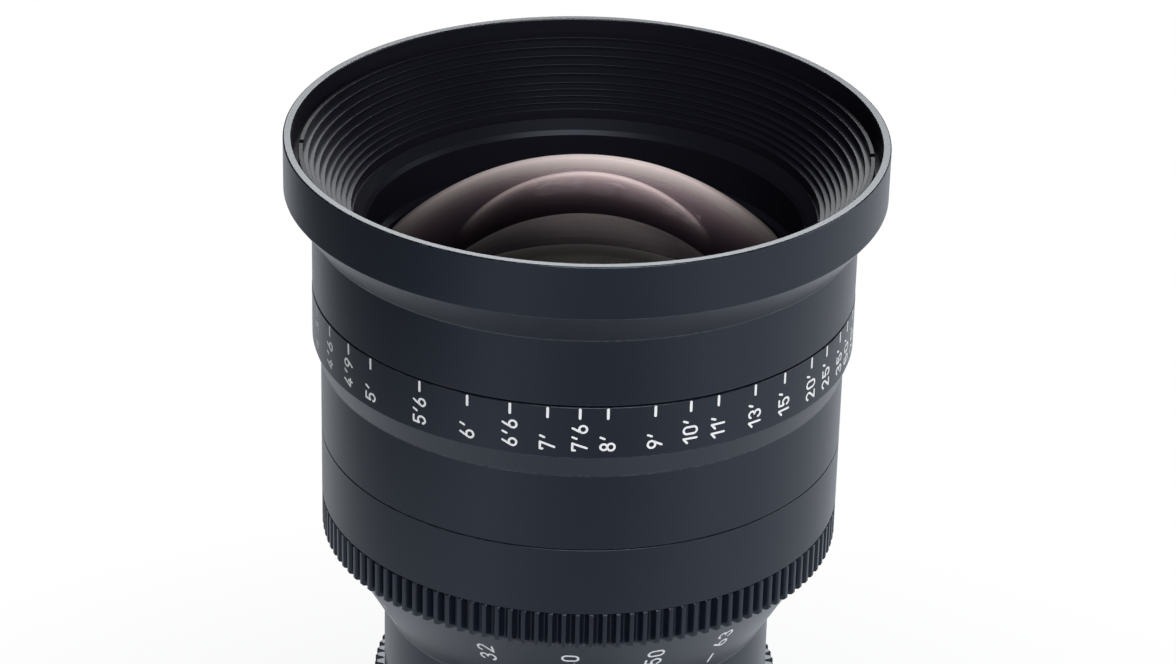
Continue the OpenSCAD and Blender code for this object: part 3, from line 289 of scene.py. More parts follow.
@dataclass(frozen=True)
class GlassFinish:
    """Polished lens glass that light passes straight through.

    Its coating blooms where it is seen at a flat angle, and where it blooms little it has the
    colour deep_tint. The bloom fades from the height painted_shade_clear_z to none at
    painted_shade_z, in metres: painted shade that darkens the lower, outer part of the dome.
    """

    name: str
    body: Triple
    coating: Triple
    bloom_tint: Triple
    bloom: float = 1.2
    falloff: float = 5.0
    bloom_metal: float = 0.75
    bloom_rough: float = 0.45
    coating_ior: float = 1.05
    gloss_rough: float = 0.12
    facing_blend: float = 0.5
    deep_tint: Triple | None = None
    deep_range: Point = (0.0, 0.35)
    painted_shade_z: float = -1.0
    painted_shade_clear_z: float = -0.9

    def material(self) -> Material:
        """Builds the finish as a node material.

        Returns:
            The material.
        """
        material, graph, shader = fresh_material(self.name)
        mirror = graph.node("Fresnel", {"IOR": self.coating_ior})
        clear = graph.node("BsdfTransparent", {"Color": rgba(self.body)})
        gloss = graph.node("BsdfAnisotropic", {"Color": rgba(self.coating),
                                               "Roughness": self.gloss_rough})
        polished = graph.blend(mirror.outputs["Fac"], clear.outputs["BSDF"],
                               gloss.outputs["BSDF"])
        facing = graph.node("LayerWeight", {"Blend": self.facing_blend}).outputs["Facing"]
        flat = graph.maths("POWER", facing, self.falloff)
        weight = graph.maths("MULTIPLY", flat, self.bloom, clamp=True)
        graph.feed(shader, {"Base Color": rgba(self.bloom_tint), "Metallic": self.bloom_metal,
                            "Roughness": self.bloom_rough})
        if self.deep_tint:
            depth = graph.remap(weight, self.deep_range, FULL)
            graph.feed(shader, {"Base Color": graph.mix(depth, rgba(self.deep_tint),
                                                        rgba(self.bloom_tint))})
        # Painted shade: below a given height the bloom fades out, which darkens the lower, outer
        # part of the dome
        place = graph.node("TexCoord").outputs["Object"]
        height = graph.node("SeparateXYZ", {0: place}).outputs["Z"]
        edge = graph.remap(height, (self.painted_shade_z, self.painted_shade_clear_z), FULL, "SMOOTHSTEP")
        share = graph.maths("MULTIPLY", weight, edge)
        surface = graph.blend(share, polished, shader.outputs["BSDF"])
        graph.feed(graph.tree.nodes["Material Output"], {0: surface})
        return material


@dataclass(frozen=True)
class PaintFinish:
    """Paint that fills an engraved mark."""

    name: str
    colour: Triple
    shade: float = 0.86
    rough: float = 0.55
    fleck_per_metre: float = 2500.0
    fleck_detail: float = 3.0
    fleck_height: float = 0.00002
    fleck_strength: float = 0.3

    def material(self) -> Material:
        """Builds the finish as a node material.

        Returns:
            The material.
        """
        material, graph, shader = fresh_material(self.name)
        place = graph.node("TexCoord").outputs["Object"]
        fleck = graph.noise(place, self.fleck_per_metre, self.fleck_detail)
        shaded = tuple(self.shade * part for part in self.colour)
        graph.feed(shader, {
            "Base Color": graph.mix(fleck, rgba(self.colour), rgba(shaded)),
            "Roughness": self.rough,
            "Normal": graph.bump(fleck, self.fleck_strength, self.fleck_height),
        })
        return material


class Finish(Enum):
    """The finishes of the lens."""

    BARREL = MetalFinish("satin_black_barrel", (0.0045, 0.0063, 0.0122),
                         (0.0049, 0.0067, 0.0127), (0.05, 0.052, 0.058))
    RING = MetalFinish("satin_black_ring", (0.0060, 0.0080, 0.0142),
                       (0.0064, 0.0084, 0.0148), (0.055, 0.057, 0.062))
    BAFFLE = MetalFinish("matt_black_baffle", (0.0068, 0.0064, 0.0110),
                         (0.0076, 0.0072, 0.0120), (0.03, 0.03, 0.035),
                         rough=(0.36, 0.42), specular=0.18, wear=0.2)
    # Partly painted light: a lighter copy of the baffle's black for the treads that face up, as
    # if lit from above, with a real glossier skin
    LIT_TREAD = MetalFinish("glossy_lit_black_tread", (0.0085, 0.0085, 0.0150),
                        (0.0095, 0.0095, 0.0165), (0.03, 0.03, 0.035),
                        rough=(0.31, 0.35), specular=0.20, wear=0.2)
    CELL = MetalFinish("matt_black_cell", (0.0050, 0.0050, 0.0085), (0.0060, 0.0060, 0.0095),
                       (0.03, 0.03, 0.03), rough=(0.36, 0.42), specular=0.20, wear=0.2)
    STEEL = MetalFinish("ground_chrome_steel", (0.62, 0.62, 0.64), (0.55, 0.55, 0.57),
                        (0.72, 0.72, 0.72), metallic=1.0, rough=(0.22, 0.32),
                        turned_per_metre=2500.0, grain_height=0.000004)
    SCREW = MetalFinish("polished_screw_steel", (0.45, 0.45, 0.47), (0.40, 0.40, 0.42),
                        (0.6, 0.6, 0.6), metallic=1.0, rough=(0.25, 0.35))
    BRASS = MetalFinish("turned_brass", (0.70, 0.54, 0.26), (0.60, 0.45, 0.20),
                        (0.8, 0.66, 0.36), metallic=1.0, rough=(0.25, 0.38),
                        turned_per_metre=2500.0)
    BLADE = MetalFinish("black_oxide_blade", (0.06, 0.06, 0.065), (0.09, 0.09, 0.095),
                        (0.25, 0.25, 0.25), metallic=0.8, rough=(0.35, 0.5))
    # The front and middle glasses carry painted shade: their bloom fades out low on the dome
    FRONT_GLASS = GlassFinish("coated_front_glass", (0.92, 0.88, 0.90), (0.90, 0.80, 0.80),
                              (0.98, 0.84, 0.82), bloom=3.1, falloff=6.5, coating_ior=1.04,
                              deep_tint=(0.66, 0.42, 0.52), painted_shade_z=0.165, painted_shade_clear_z=0.183)
    MIDDLE_GLASS = GlassFinish("cemented_glass", (0.85, 0.80, 0.84), (0.60, 0.75, 0.60),
                               (0.98, 0.88, 0.82), bloom=9.0, falloff=11.0,
                               coating_ior=1.001, painted_shade_z=0.175, painted_shade_clear_z=0.183)
    BACK_GLASS = GlassFinish("coated_back_glass", (0.78, 0.84, 0.80), (0.60, 0.75, 0.60),
                             (0.86, 0.90, 0.80), bloom=0.6, coating_ior=1.001)
    INNER_GLASS = GlassFinish("coated_inner_glass", (0.94, 0.96, 0.94), (0.55, 0.85, 0.65),
                              (0.86, 0.88, 0.74), coating_ior=1.10)
    CEMENT = GlassFinish("optical_cement", (0.97, 0.97, 0.97), (0.5, 0.5, 0.5),
                         (0.9, 0.9, 0.9), bloom=0.02, coating_ior=1.001)
    PAINT = PaintFinish("white_engraving_paint", (0.86, 0.87, 0.88))


@dataclass
class Palette:
    """The material of each finish, made once."""

    materials: dict[Finish, Material] = field(default_factory=dict)

    def __post_init__(self) -> None:
        """Builds every finish."""
        for finish in Finish:
            self.materials[finish] = finish.value.material()

    def __getitem__(self, finish: Finish) -> Material:
        """The material of a finish."""
        return self.materials[finish]


# Shapes


@dataclass(frozen=True)
class Corner:
    """A corner of a turned outline: radius, height and the radius that rounds it."""

    r: float
    z: float
    fillet: float = 0.0


def rounded(corners: list[Corner], arc_steps: int = 3) -> list[tuple[float, float, int]]:
    """Rounds the corners of a closed outline.

    Args:
        corners: the outline's corners in order.
        arc_steps: the pieces of each rounding arc.
    Returns:
        Rows of radius, height and the number of the rounding, which is 0 elsewhere.
    """
    rows = []
    count = len(corners)
    for i, corner in enumerate(corners):
        here = Vector((corner.r, corner.z))
        if corner.fillet <= 0:
            rows.append((corner.r, corner.z, 0))
            continue
        before = corners[i - 1]
        after = corners[(i + 1) % count]
        a = (Vector((before.r, before.z)) - here).normalized()
        b = (Vector((after.r, after.z)) - here).normalized()
        half = math.acos(max(-1.0, min(1.0, a.dot(b)))) / 2
        reach = corner.fillet / math.tan(half)
        centre = here + (a + b).normalized() * (corner.fillet / math.sin(half))
        start = here + a * reach - centre
        sweep = math.pi - 2 * half
        turn = 1.0 if a.x * b.y - a.y * b.x < 0 else -1.0
        for k in range(arc_steps + 1):
            t = turn * sweep * k / arc_steps
            rows.append((centre.x + start.x * math.cos(t) - start.y * math.sin(t),
                         centre.y + start.x * math.sin(t) + start.y * math.cos(t), i + 1))
    return rows


def spun(r: float, angle: float, z: float) -> Triple:
    """A point in metres, from a radius and a height in millimetres and an azimuth in radians."""
    return (r * math.sin(angle) * MM, -r * math.cos(angle) * MM, z * MM)


def wrapped_grid(rows: int, count: int, flip: bool = False) -> list[tuple[int, int, int, int]]:
    """Faces of a grid of points whose rows and columns both close on themselves.

    Args:
        rows: the number of rows.
        count: the points in each row.
        flip: whether the faces turn the other way.
    Returns:
        The faces, row by row.
    """
    faces = []
    for row in range(rows):
        after = (row + 1) % rows
        for k in range(count):
            m = (k + 1) % count
            a, b = row * count + k, after * count + k
            c, d = after * count + m, row * count + m
            faces.append((a, d, c, b) if flip else (a, b, c, d))
    return faces


def new_mesh(name: str, points: list[Triple], faces: list[tuple[int, ...]],
             wear: list[float] | None = None) -> Mesh:
    """Makes a smooth mesh.

    Args:
        name: its name.
        points: its points.
        faces: its faces.
        wear: how far each face is a worn edge, from zero to one.
    Returns:
        The mesh.
    """
    mesh = bpy.data.meshes.new(name)
    mesh.from_pydata(points, [], faces)
    if wear:
        layer = mesh.attributes.new("edge_wear", "FLOAT", "FACE")
        layer.data.foreach_set("value", wear)
    mesh.polygons.foreach_set("use_smooth", [True] * len(mesh.polygons))
    return mesh


def new_piece(name: str, body: Body, material: Material, mesh: Mesh) -> Object:
    """Puts a mesh in the scene as a piece of the lens.

    Args:
        name: the piece's name.
        body: the CAD body that carries it.
        material: its finish.
        mesh: its mesh, in metres in the part's frame.
    Returns:
        The new object.
    """
    piece = bpy.data.objects.new(name, mesh)
    bpy.context.scene.collection.objects.link(piece)
    mesh.materials.append(material)
    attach(piece, body)
    LOG.info("built %s on %s with %d faces", name, body, len(mesh.polygons))
    return piece


def second_finish(mesh: Mesh, material: Material,
                  wanted: Callable[[MeshPolygon], bool]) -> None:
    """Gives some faces of a mesh another finish.

    Args:
        mesh: the mesh, which has its first finish.
        material: the other finish.
        wanted: tells whether a face gets it.
    """
    mesh.materials.append(material)
    chosen = [int(wanted(face)) for face in mesh.polygons]
    mesh.polygons.foreach_set("material_index", chosen)


@dataclass(frozen=True)
class Notches:
    """Notches cut down into the end of a turned solid, with sizes in millimetres.

    The turns are degrees round the axis: how clear the other sections stay of a notch, and how
    thin its walls are.
    """

    azimuths: tuple[float, ...] = ()
    width: float = 0.0
    depth: float = 0.0
    above_z: float = 0.0
    clear_turn: float = 0.3
    wall_turn: float = 0.02


@dataclass
class Turned:
    """A turned solid: a closed outline spun round the lens axis.

    Lines that meet at more than sharp degrees keep a hard edge. Two sections less than
    thin_step radians apart make the wall of a notch.
    """

    name: str
    corners: list[Corner]
    body: Body
    slot: Slot
    segments: int = 288
    notches: Notches = Notches()
    sharp: float = 38.0
    thin_step: float = 0.001

    def angles(self) -> list[tuple[float, bool]]:
        """The azimuths of the spun sections.

        Returns:
            Rows of azimuth in degrees and whether the section is inside a notch.
        """
        rows = [(360.0 * i / self.segments, False) for i in range(self.segments)]
        cut = self.notches
        for azimuth in cut.azimuths:
            half = math.degrees(cut.width / 2 / self.corners[0].r)
            low, high = (azimuth - half) % 360, (azimuth + half) % 360
            rows = [row for row in rows
                    if not low - cut.clear_turn < row[0] < high + cut.clear_turn]
            rows += [(low - cut.wall_turn, False), (low, True), (high, True),
                     (high + cut.wall_turn, False)]
        return sorted(rows)

    def mesh(self) -> Mesh:
        """Spins the outline.

        Returns:
            A closed mesh with smooth faces and exact normals.
        """
        rows = rounded(self.corners)
        area = sum(rows[i - 1][0] * rows[i][1] - rows[i][0] * rows[i - 1][1]
                   for i in range(len(rows)))
        if area < 0:
            rows.reverse()
        count = len(rows)
        sections = self.angles()
        points = []
        for azimuth, sunk in sections:
            for r, z, _ in rows:
                drop = self.notches.depth if sunk and z > self.notches.above_z else 0.0
                points.append(spun(r, math.radians(azimuth), z - drop))
        worn = [float(0 < rows[k][2] == rows[(k + 1) % count][2]) for k in range(count)]
        mesh = new_mesh(self.name, points, wrapped_grid(len(sections), count),
                        worn * len(sections))
        self.set_normals(mesh, rows, sections)
        return mesh

    def set_normals(self, mesh: Mesh, rows: list[tuple[float, float, int]],
                    sections: list[tuple[float, bool]]) -> None:
        """Gives flat bands flat shading across and the roundings a smooth turn.

        Args:
            mesh: the spun mesh.
            rows: the rounded outline.
            sections: the azimuths.
        """
        count = len(rows)
        lines = []
        for k in range(count):
            (r0, z0, turn0), (r1, z1, turn1) = rows[k], rows[(k + 1) % count]
            length = math.hypot(r1 - r0, z1 - z0) or TINY
            lines.append(((z1 - z0) / length, -(r1 - r0) / length, 0 < turn0 == turn1))
        ends = []
        for k in range(count):
            before, here, after = lines[k - 1], lines[k], lines[(k + 1) % count]
            ends.append((self.shared(here, before), self.shared(here, after)))
        normals = []
        for i, (azimuth, sunk) in enumerate(sections):
            next_azimuth, next_sunk = sections[(i + 1) % len(sections)]
            a0, a1 = math.radians(azimuth), math.radians(next_azimuth)
            notch_wall = (sunk or next_sunk) and (a1 - a0) % math.tau < self.thin_step
            for (n0, m0), (n1, m1) in ends:
                for angle, n, m in ((a0, n0, m0), (a1, n0, m0), (a1, n1, m1), (a0, n1, m1)):
                    if notch_wall:
                        normals.append((math.cos(a0), math.sin(a0), 0.0))
                    else:
                        normals.append((n * math.sin(angle), -n * math.cos(angle), m))
        mesh.normals_split_custom_set(normals)

    def shared(self, here: tuple[float, float, bool],
               other: tuple[float, float, bool]) -> Point:
        """The normal at the end of one outline line, seen from its side.

        Args:
            here: the line's normal and whether it lies on a rounding.
            other: the next line's.
        Returns:
            The normal as radius and height parts.
        """
        along = here[0] * other[0] + here[1] * other[1]
        if along < math.cos(math.radians(self.sharp)) or not here[2]:
            return here[0], here[1]
        if not other[2]:
            return other[0], other[1]
        n, m = here[0] + other[0], here[1] + other[1]
        length = math.hypot(n, m) or 1.0
        return n / length, m / length

    def build(self, material: Material, *nodes: str) -> Object:
        """Makes the piece and lets it stand for CAD nodes.

        Args:
            material: the finish.
            nodes: the CAD nodes that it stands for.
        Returns:
            The piece.
        """
        piece = new_piece(self.name, self.body, material, self.mesh())
        if nodes:
            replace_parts(piece, *nodes)
        return piece


def gear_root(teeth: int) -> float:
    """The root radius of a drive gear."""
    return (teeth - 2 * ROOT_DEPTH_SHARE) * GEAR_MODULE / 2


@dataclass
class DriveGear:
    """A ring of drive teeth with broken tooth edges and eased ends.

    The rise shares are places up the tooth, as shares of its height, and its width there. The
    edge drops are depths under the tip and what each side loses there. The ease shares round an
    end of the teeth: how far along, and how far below the tip.
    """

    name: str
    teeth: int
    tip: float
    bore: float
    z0: float
    z1: float
    body: Body
    phase: float = 0.0
    foot_ease: float = 0.45
    head_ease: float = 0.2
    rise_shares: tuple[Point, ...] = ((0.0, 1.25), (0.07, 1.07), (0.25, 1.0), (0.6, 1.0))
    edge_drops: tuple[Point, ...] = ((0.09, 0.0), (0.02, 0.05), (0.0, 0.12))
    ease_shares: tuple[Point, ...] = ((0.0, 1.0), (0.13, 0.5), (0.5, 0.13), (1.0, 0.0))
    tip_zone: float = 0.1
    sharp: float = 26.0

    def half_angle(self, r: float) -> float:
        """Half the angle that an involute tooth covers.

        Args:
            r: the radius where it is measured.
        Returns:
            The angle in radians.
        """
        base_r = self.teeth * GEAR_MODULE / 2 * math.cos(PRESSURE_ANGLE)
        slope = math.acos(min(1.0, base_r / r))
        flank = math.tan(slope) - slope
        start = math.tan(PRESSURE_ANGLE) - PRESSURE_ANGLE
        return math.pi / 2 / self.teeth + start - flank

    def section(self) -> list[Point]:
        """One tooth's outline as radius and angle from its middle.

        Returns:
            Points from one root to the other.
        """
        root = gear_root(self.teeth)
        side = []
        for share, wide in self.rise_shares:
            r = root + share * (self.tip - root)
            side.append((r, self.half_angle(r) * wide))
        top = self.half_angle(self.tip - self.edge_drops[0][0])
        side += [(self.tip - drop, top - loss / self.tip) for drop, loss in self.edge_drops]
        return [(r, -a) for r, a in side] + side[::-1]

    def mesh(self) -> Mesh:
        """Builds the closed ring of teeth.

        Returns:
            The mesh.
        """
        section = self.section()
        ring = []
        for i in range(self.teeth):
            middle = math.radians(self.phase + 360.0 * i / self.teeth)
            ring += [(r, middle + a) for r, a in section]
        levels = [(self.z0 + along * self.foot_ease, self.tip - below * self.foot_ease)
                  for along, below in self.ease_shares]
        levels += [(self.z1 - self.head_ease, self.tip), (self.z1, self.tip - self.head_ease)]
        points = [spun(self.bore, a, z) for z in (self.z1, self.z0) for r, a in ring]
        points += [spun(min(r, cap), a, z) for z, cap in levels for r, a in ring]
        rows = len(levels) + 2
        at_tip = [r > self.tip - self.tip_zone for r, a in ring]
        tips = [at_tip[k] and at_tip[(k + 1) % len(ring)] for k in range(len(ring))]
        eased = (2, 3, 4, rows - 2)
        wear = [float(row in eased and tip) for row in range(rows) for tip in tips]
        mesh = new_mesh(self.name, points, wrapped_grid(rows, len(ring), True), wear)
        mesh.set_sharp_from_angle(angle=math.radians(self.sharp))
        return mesh

    def build(self, material: Material) -> Object:
        """Makes the piece in the given finish."""
        return new_piece(self.name, self.body, material, self.mesh())


# Figures


def arc(cx: float, cy: float, rx: float, ry: float, start: float, end: float,
        steps: int = 12) -> list[Point]:
    """Points on an arc of an ellipse.

    Args:
        cx: centre across.
        cy: centre upwards.
        rx: radius across.
        ry: radius upwards.
        start: first angle in degrees.
        end: last angle in degrees.
        steps: pieces of the arc.
    Returns:
        The points.
    """
    turn = [math.radians(start + (end - start) * i / steps) for i in range(steps + 1)]
    return [(cx + rx * math.cos(t), cy + ry * math.sin(t)) for t in turn]


@dataclass(frozen=True)
class StrokeFigures:
    """Plain engraved figures drawn as single strokes, one unit high."""

    half: float = 0.27
    space: float = 0.37

    def strokes(self, sign: str) -> list[list[Point]]:
        """The strokes of a figure.

        Args:
            sign: a digit, a full stop, a prime or the sign for infinity.
        Returns:
            Lines of points, starting at the figure's left edge.
        """
        w = self.half
        figures = {
            "0": [arc(w, 1 - w, w, w, 180, 0) + arc(w, w, w, w, 0, -180) + [(0.0, 1 - w)]],
            "1": [[(0.0, 0.72), (0.34, 1.0), (0.34, 0.0)]],
            "2": [arc(w, 1 - w, w, w, 165, -38) + [(0.0, 0.0), (2 * w, 0.0)]],
            "3": [arc(w, 0.76, 0.93 * w, 0.24, 160, -80, 10), arc(w, 0.27, w, 0.27, 85, -165)],
            "4": [[(0.33, 1.0), (0.0, 0.24), (2 * w + 0.04, 0.24)], [(0.40, 0.48), (0.40, 0.0)]],
            "5": [[(2 * w - 0.04, 1.0), (0.05, 1.0), (0.02, 0.55)],
                  arc(w, 0.31, w, 0.31, 140, -160, 14)],
            "6": [arc(w, w, w, w, 90, 450, 18), [(0.04, 0.42), (0.34, 1.0)]],
            "7": [[(0.0, 0.82), (0.0, 1.0), (2 * w, 1.0), (0.19, 0.0)]],
            "8": [arc(w, 0.255, w, 0.255, 90, 450, 18),
                  arc(w, 0.76, 0.86 * w, 0.24, -90, 270, 16)],
            "9": [arc(w, 1 - w, w, w, -90, 270, 18), [(0.50, 0.58), (0.20, 0.0)]],
            "'": [[(0.12, 1.0), (0.0, 0.72)]],
            ".": [[(0.0, 0.02), (0.0, 0.03)]],
            "∞": [arc(0.26, 0.38, 0.26, 0.22, 60, 300, 14) + [(0.52, 0.38)]
                  + arc(0.78, 0.38, 0.26, 0.22, 120, -120, 14) + [(0.52, 0.38), (0.39, 0.57)]],
        }
        return figures[sign]

    def advance(self, sign: str) -> float:
        """The room that a figure takes, without the space after it."""
        return {"1": 0.34, "'": 0.12, ".": 0.0, "∞": 1.04, "4": 0.58}.get(sign, 2 * self.half)

    def spell(self, words: str, height: float) -> list[list[Point]]:
        """The strokes of several figures in a row.

        Args:
            words: the figures.
            height: their height in millimetres.
        Returns:
            Lines of points in millimetres, starting at zero.
        """
        lines, at = [], 0.0
        for sign in words:
            lines += [[((at + x) * height, y * height) for x, y in line]
                      for line in self.strokes(sign)]
            at += self.advance(sign) + self.space
        return lines


def subdivided(line: list[Point], longest: float = 0.6) -> list[Point]:
    """The same line with no piece longer than a given length.

    Args:
        line: its points.
        longest: the longest piece.
    Returns:
        The new points.
    """
    made = [line[0]]
    for (x0, y0), (x1, y1) in zip(line, line[1:]):
        pieces = max(1, math.ceil(math.hypot(x1 - x0, y1 - y0) / longest))
        made += [(x0 + (x1 - x0) * k / pieces, y0 + (y1 - y0) * k / pieces)
                 for k in range(1, pieces + 1)]
    return made


def sharp_split(line: list[Point], limit: float = 40.0) -> list[list[Point]]:
    """Cuts a line at its sharp corners, so that each part can be drawn with round ends.

    Args:
        line: its points.
        limit: the turn in degrees that counts as sharp.
    Returns:
        The parts.
    """
    parts, start = [], 0
    for i in range(1, len(line) - 1):
        a = Vector((line[i][0] - line[i - 1][0], line[i][1] - line[i - 1][1]))
        b = Vector((line[i + 1][0] - line[i][0], line[i + 1][1] - line[i][1]))
        if a.length > 0 and b.length > 0 and math.degrees(a.angle(b)) > limit:
            parts.append(line[start:i + 1])
            start = i
    parts.append(line[start:])
    return parts


@dataclass
class Engraving:
    """White filled marks on a turned surface, as thin closed bands that follow its curve.

    Their faces stand proud of the surface and their backs lie sunk below it.
    """

    name: str
    body: Body
    slot: Slot
    radius_at: Callable[[float], float]
    stroke: float = 0.42
    proud: float = 0.015
    sunk: float = 0.05
    cap_steps: int = 6
    points: list[Triple] = field(default_factory=list)
    faces: list[tuple[int, ...]] = field(default_factory=list)

    def place(self, azimuth: float, along: float, z: float, lift: float) -> Triple:
        """A point on the surface.

        Args:
            azimuth: degrees from the front towards +X.
            along: millimetres round the surface from there.
            z: height in millimetres.
            lift: how far the point stands above the surface.
        Returns:
            The point in metres.
        """
        r = self.radius_at(z)
        return spun(r + lift, math.radians(azimuth) + along / r, z)

    def band(self, azimuth: float, z: float, line: list[Point], width: float) -> None:
        """Adds one stroke with round ends.

        Args:
            azimuth: where its origin stands.
            z: the height of its origin.
            line: its middle line as millimetres round and up from the origin.
            width: its width.
        """
        closed = math.hypot(line[0][0] - line[-1][0], line[0][1] - line[-1][1]) < TINY
        line = subdivided(line)
        half = width / 2
        if closed:
            line = line[:-1]
        count = len(line)
        left, right = [], []
        for i, (x, y) in enumerate(line):
            a = line[i - 1] if closed or i > 0 else line[i]
            b = line[(i + 1) % count] if closed or i < count - 1 else line[i]
            t = Vector((b[0] - a[0], b[1] - a[1])).normalized()
            left.append((x - t.y * half, y + t.x * half))
            right.append((x + t.y * half, y - t.x * half))
        if closed:
            self.ring(azimuth, z, left, right)
            return
        outline = left + self.cap(line[-2], line[-1], half)
        outline += right[::-1] + self.cap(line[1], line[0], half)
        self.plate(azimuth, z, outline, count)

    def cap(self, before: Point, end: Point, half: float) -> list[Point]:
        """The round end of a stroke.

        Args:
            before: the point before its end.
            end: the end.
            half: half the stroke's width.
        Returns:
            Points from the left side to the right side.
        """
        heading = math.atan2(end[1] - before[1], end[0] - before[0])
        turn = [heading + math.pi / 2 - math.pi * k / self.cap_steps
                for k in range(1, self.cap_steps)]
        return [(end[0] + half * math.cos(t), end[1] + half * math.sin(t)) for t in turn]

    def add(self, azimuth: float, z: float, flat: list[Point]) -> tuple[int, int]:
        """Adds the top and the bottom copies of some points.

        Args:
            azimuth: where their origin stands.
            z: the height of their origin.
            flat: the points as millimetres round and up.
        Returns:
            The index of the first top point and of the first bottom point.
        """
        top = len(self.points)
        self.points += [self.place(azimuth, x, z + y, self.proud) for x, y in flat]
        low = len(self.points)
        self.points += [self.place(azimuth, x, z + y, -self.sunk) for x, y in flat]
        return top, low

    def walls(self, top: int, low: int, count: int, flip: bool = False) -> None:
        """Adds the side faces between a top loop and a bottom loop.

        Args:
            top: the index of the first top point.
            low: the index of the first bottom point.
            count: the points in each loop.
            flip: whether the faces turn the other way.
        """
        for k in range(count):
            m = (k + 1) % count
            face = (top + k, low + k, low + m, top + m)
            self.faces.append(face[::-1] if flip else face)

    def ring(self, azimuth: float, z: float, left: list[Point], right: list[Point]) -> None:
        """Adds a stroke that closes on itself.

        Args:
            azimuth: where its origin stands.
            z: the height of its origin.
            left: its left edge.
            right: its right edge.
        """
        count = len(left)
        top_l, low_l = self.add(azimuth, z, left)
        top_r, low_r = self.add(azimuth, z, right)
        for k in range(count):
            m = (k + 1) % count
            self.faces.append((top_l + k, top_r + k, top_r + m, top_l + m))
            self.faces.append((low_l + k, low_l + m, low_r + m, low_r + k))
        self.walls(top_l, low_l, count, True)
        self.walls(top_r, low_r, count)

    def plate(self, azimuth: float, z: float, outline: list[Point], run: int) -> None:
        """Adds an open stroke.

        Args:
            azimuth: where its origin stands.
            z: the height of its origin.
            outline: its left edge, one end, its right edge backwards and the other end.
            run: the points of each edge.
        """
        count = len(outline)
        top, low = self.add(azimuth, z, outline)
        far = count // 2
        quads = [(k, far + run - 1 - k, far + run - 2 - k, k + 1) for k in range(run - 1)]
        for quad in quads:
            self.faces.append(tuple(top + q for q in quad))
            self.faces.append(tuple(low + q for q in quad[::-1]))
        for loop in (list(range(run - 1, far + 1)), list(range(far + run - 1, count)) + [0]):
            self.faces.append(tuple(top + q for q in loop[::-1]))
            self.faces.append(tuple(low + q for q in loop))
        self.walls(top, low, count)

    def mark(self, azimuth: float, z0: float, z1: float, width: float) -> None:
        """Adds a straight mark along the axis between two heights."""
        half = width / 2
        self.band(azimuth, 0.0, [(0.0, z0 + half), (0.0, z1 - half)], width)

    def write(self, azimuth: float, z: float, words: str, height: float) -> None:
        """Adds figures that read upwards.

        Args:
            azimuth: the middle of the figures' height.
            z: where they start.
            words: the figures.
            height: their height in millimetres.
        """
        for line in StrokeFigures().spell(words, height):
            for part in sharp_split([(height / 2 - y, x) for x, y in line]):
                self.band(azimuth, z, part, self.stroke)

    def build(self, material: Material) -> Object:
        """Makes the piece.

        Args:
            material: the finish.
        Returns:
            The piece.
        """
        mesh = new_mesh(self.name, self.points, self.faces)
        mesh.polygons.foreach_set("use_smooth", [False] * len(mesh.polygons))
        return new_piece(self.name, self.body, material, mesh)


# Sub-assemblies


@dataclass(frozen=True)
class TickSize:
    """Heights and width of a straight mark along the axis."""

    z0: float
    z1: float
    width: float


def index_mark(name: str, radius: float, tick: TickSize, palette: Palette) -> None:
    """Engraves a fixed index mark on the barrel.

    Args:
        name: the piece's name.
        radius: the barrel's radius there.
        tick: the mark's size.
        palette: the finishes.
    """
    mark = Engraving(name, Body.BARREL, Slot.BARREL, lambda z: radius)
    mark.mark(INDEX_AZIMUTH, tick.z0, tick.z1, tick.width)
    mark.build(palette[Finish.PAINT])


@dataclass
class Scale:
    """The scale of a turning ring: a tick and its figures at each azimuth."""

    name: str
    body: Body
    radius_at: Callable[[float], float]
    marks: tuple[tuple[str, float], ...]
    tick: TickSize
    figures_z: float
    figure_height: float
    stroke: float = 0.42

    def build(self, palette: Palette) -> None:
        """Engraves the scale.

        Args:
            palette: the finishes.
        """
        scale = Engraving(self.name, self.body, Slot.RING, self.radius_at, self.stroke)
        for words, azimuth in self.marks:
            scale.mark(azimuth, self.tick.z0, self.tick.z1, self.tick.width)
            scale.write(azimuth, self.figures_z, words, self.figure_height)
        scale.build(palette[Finish.PAINT])


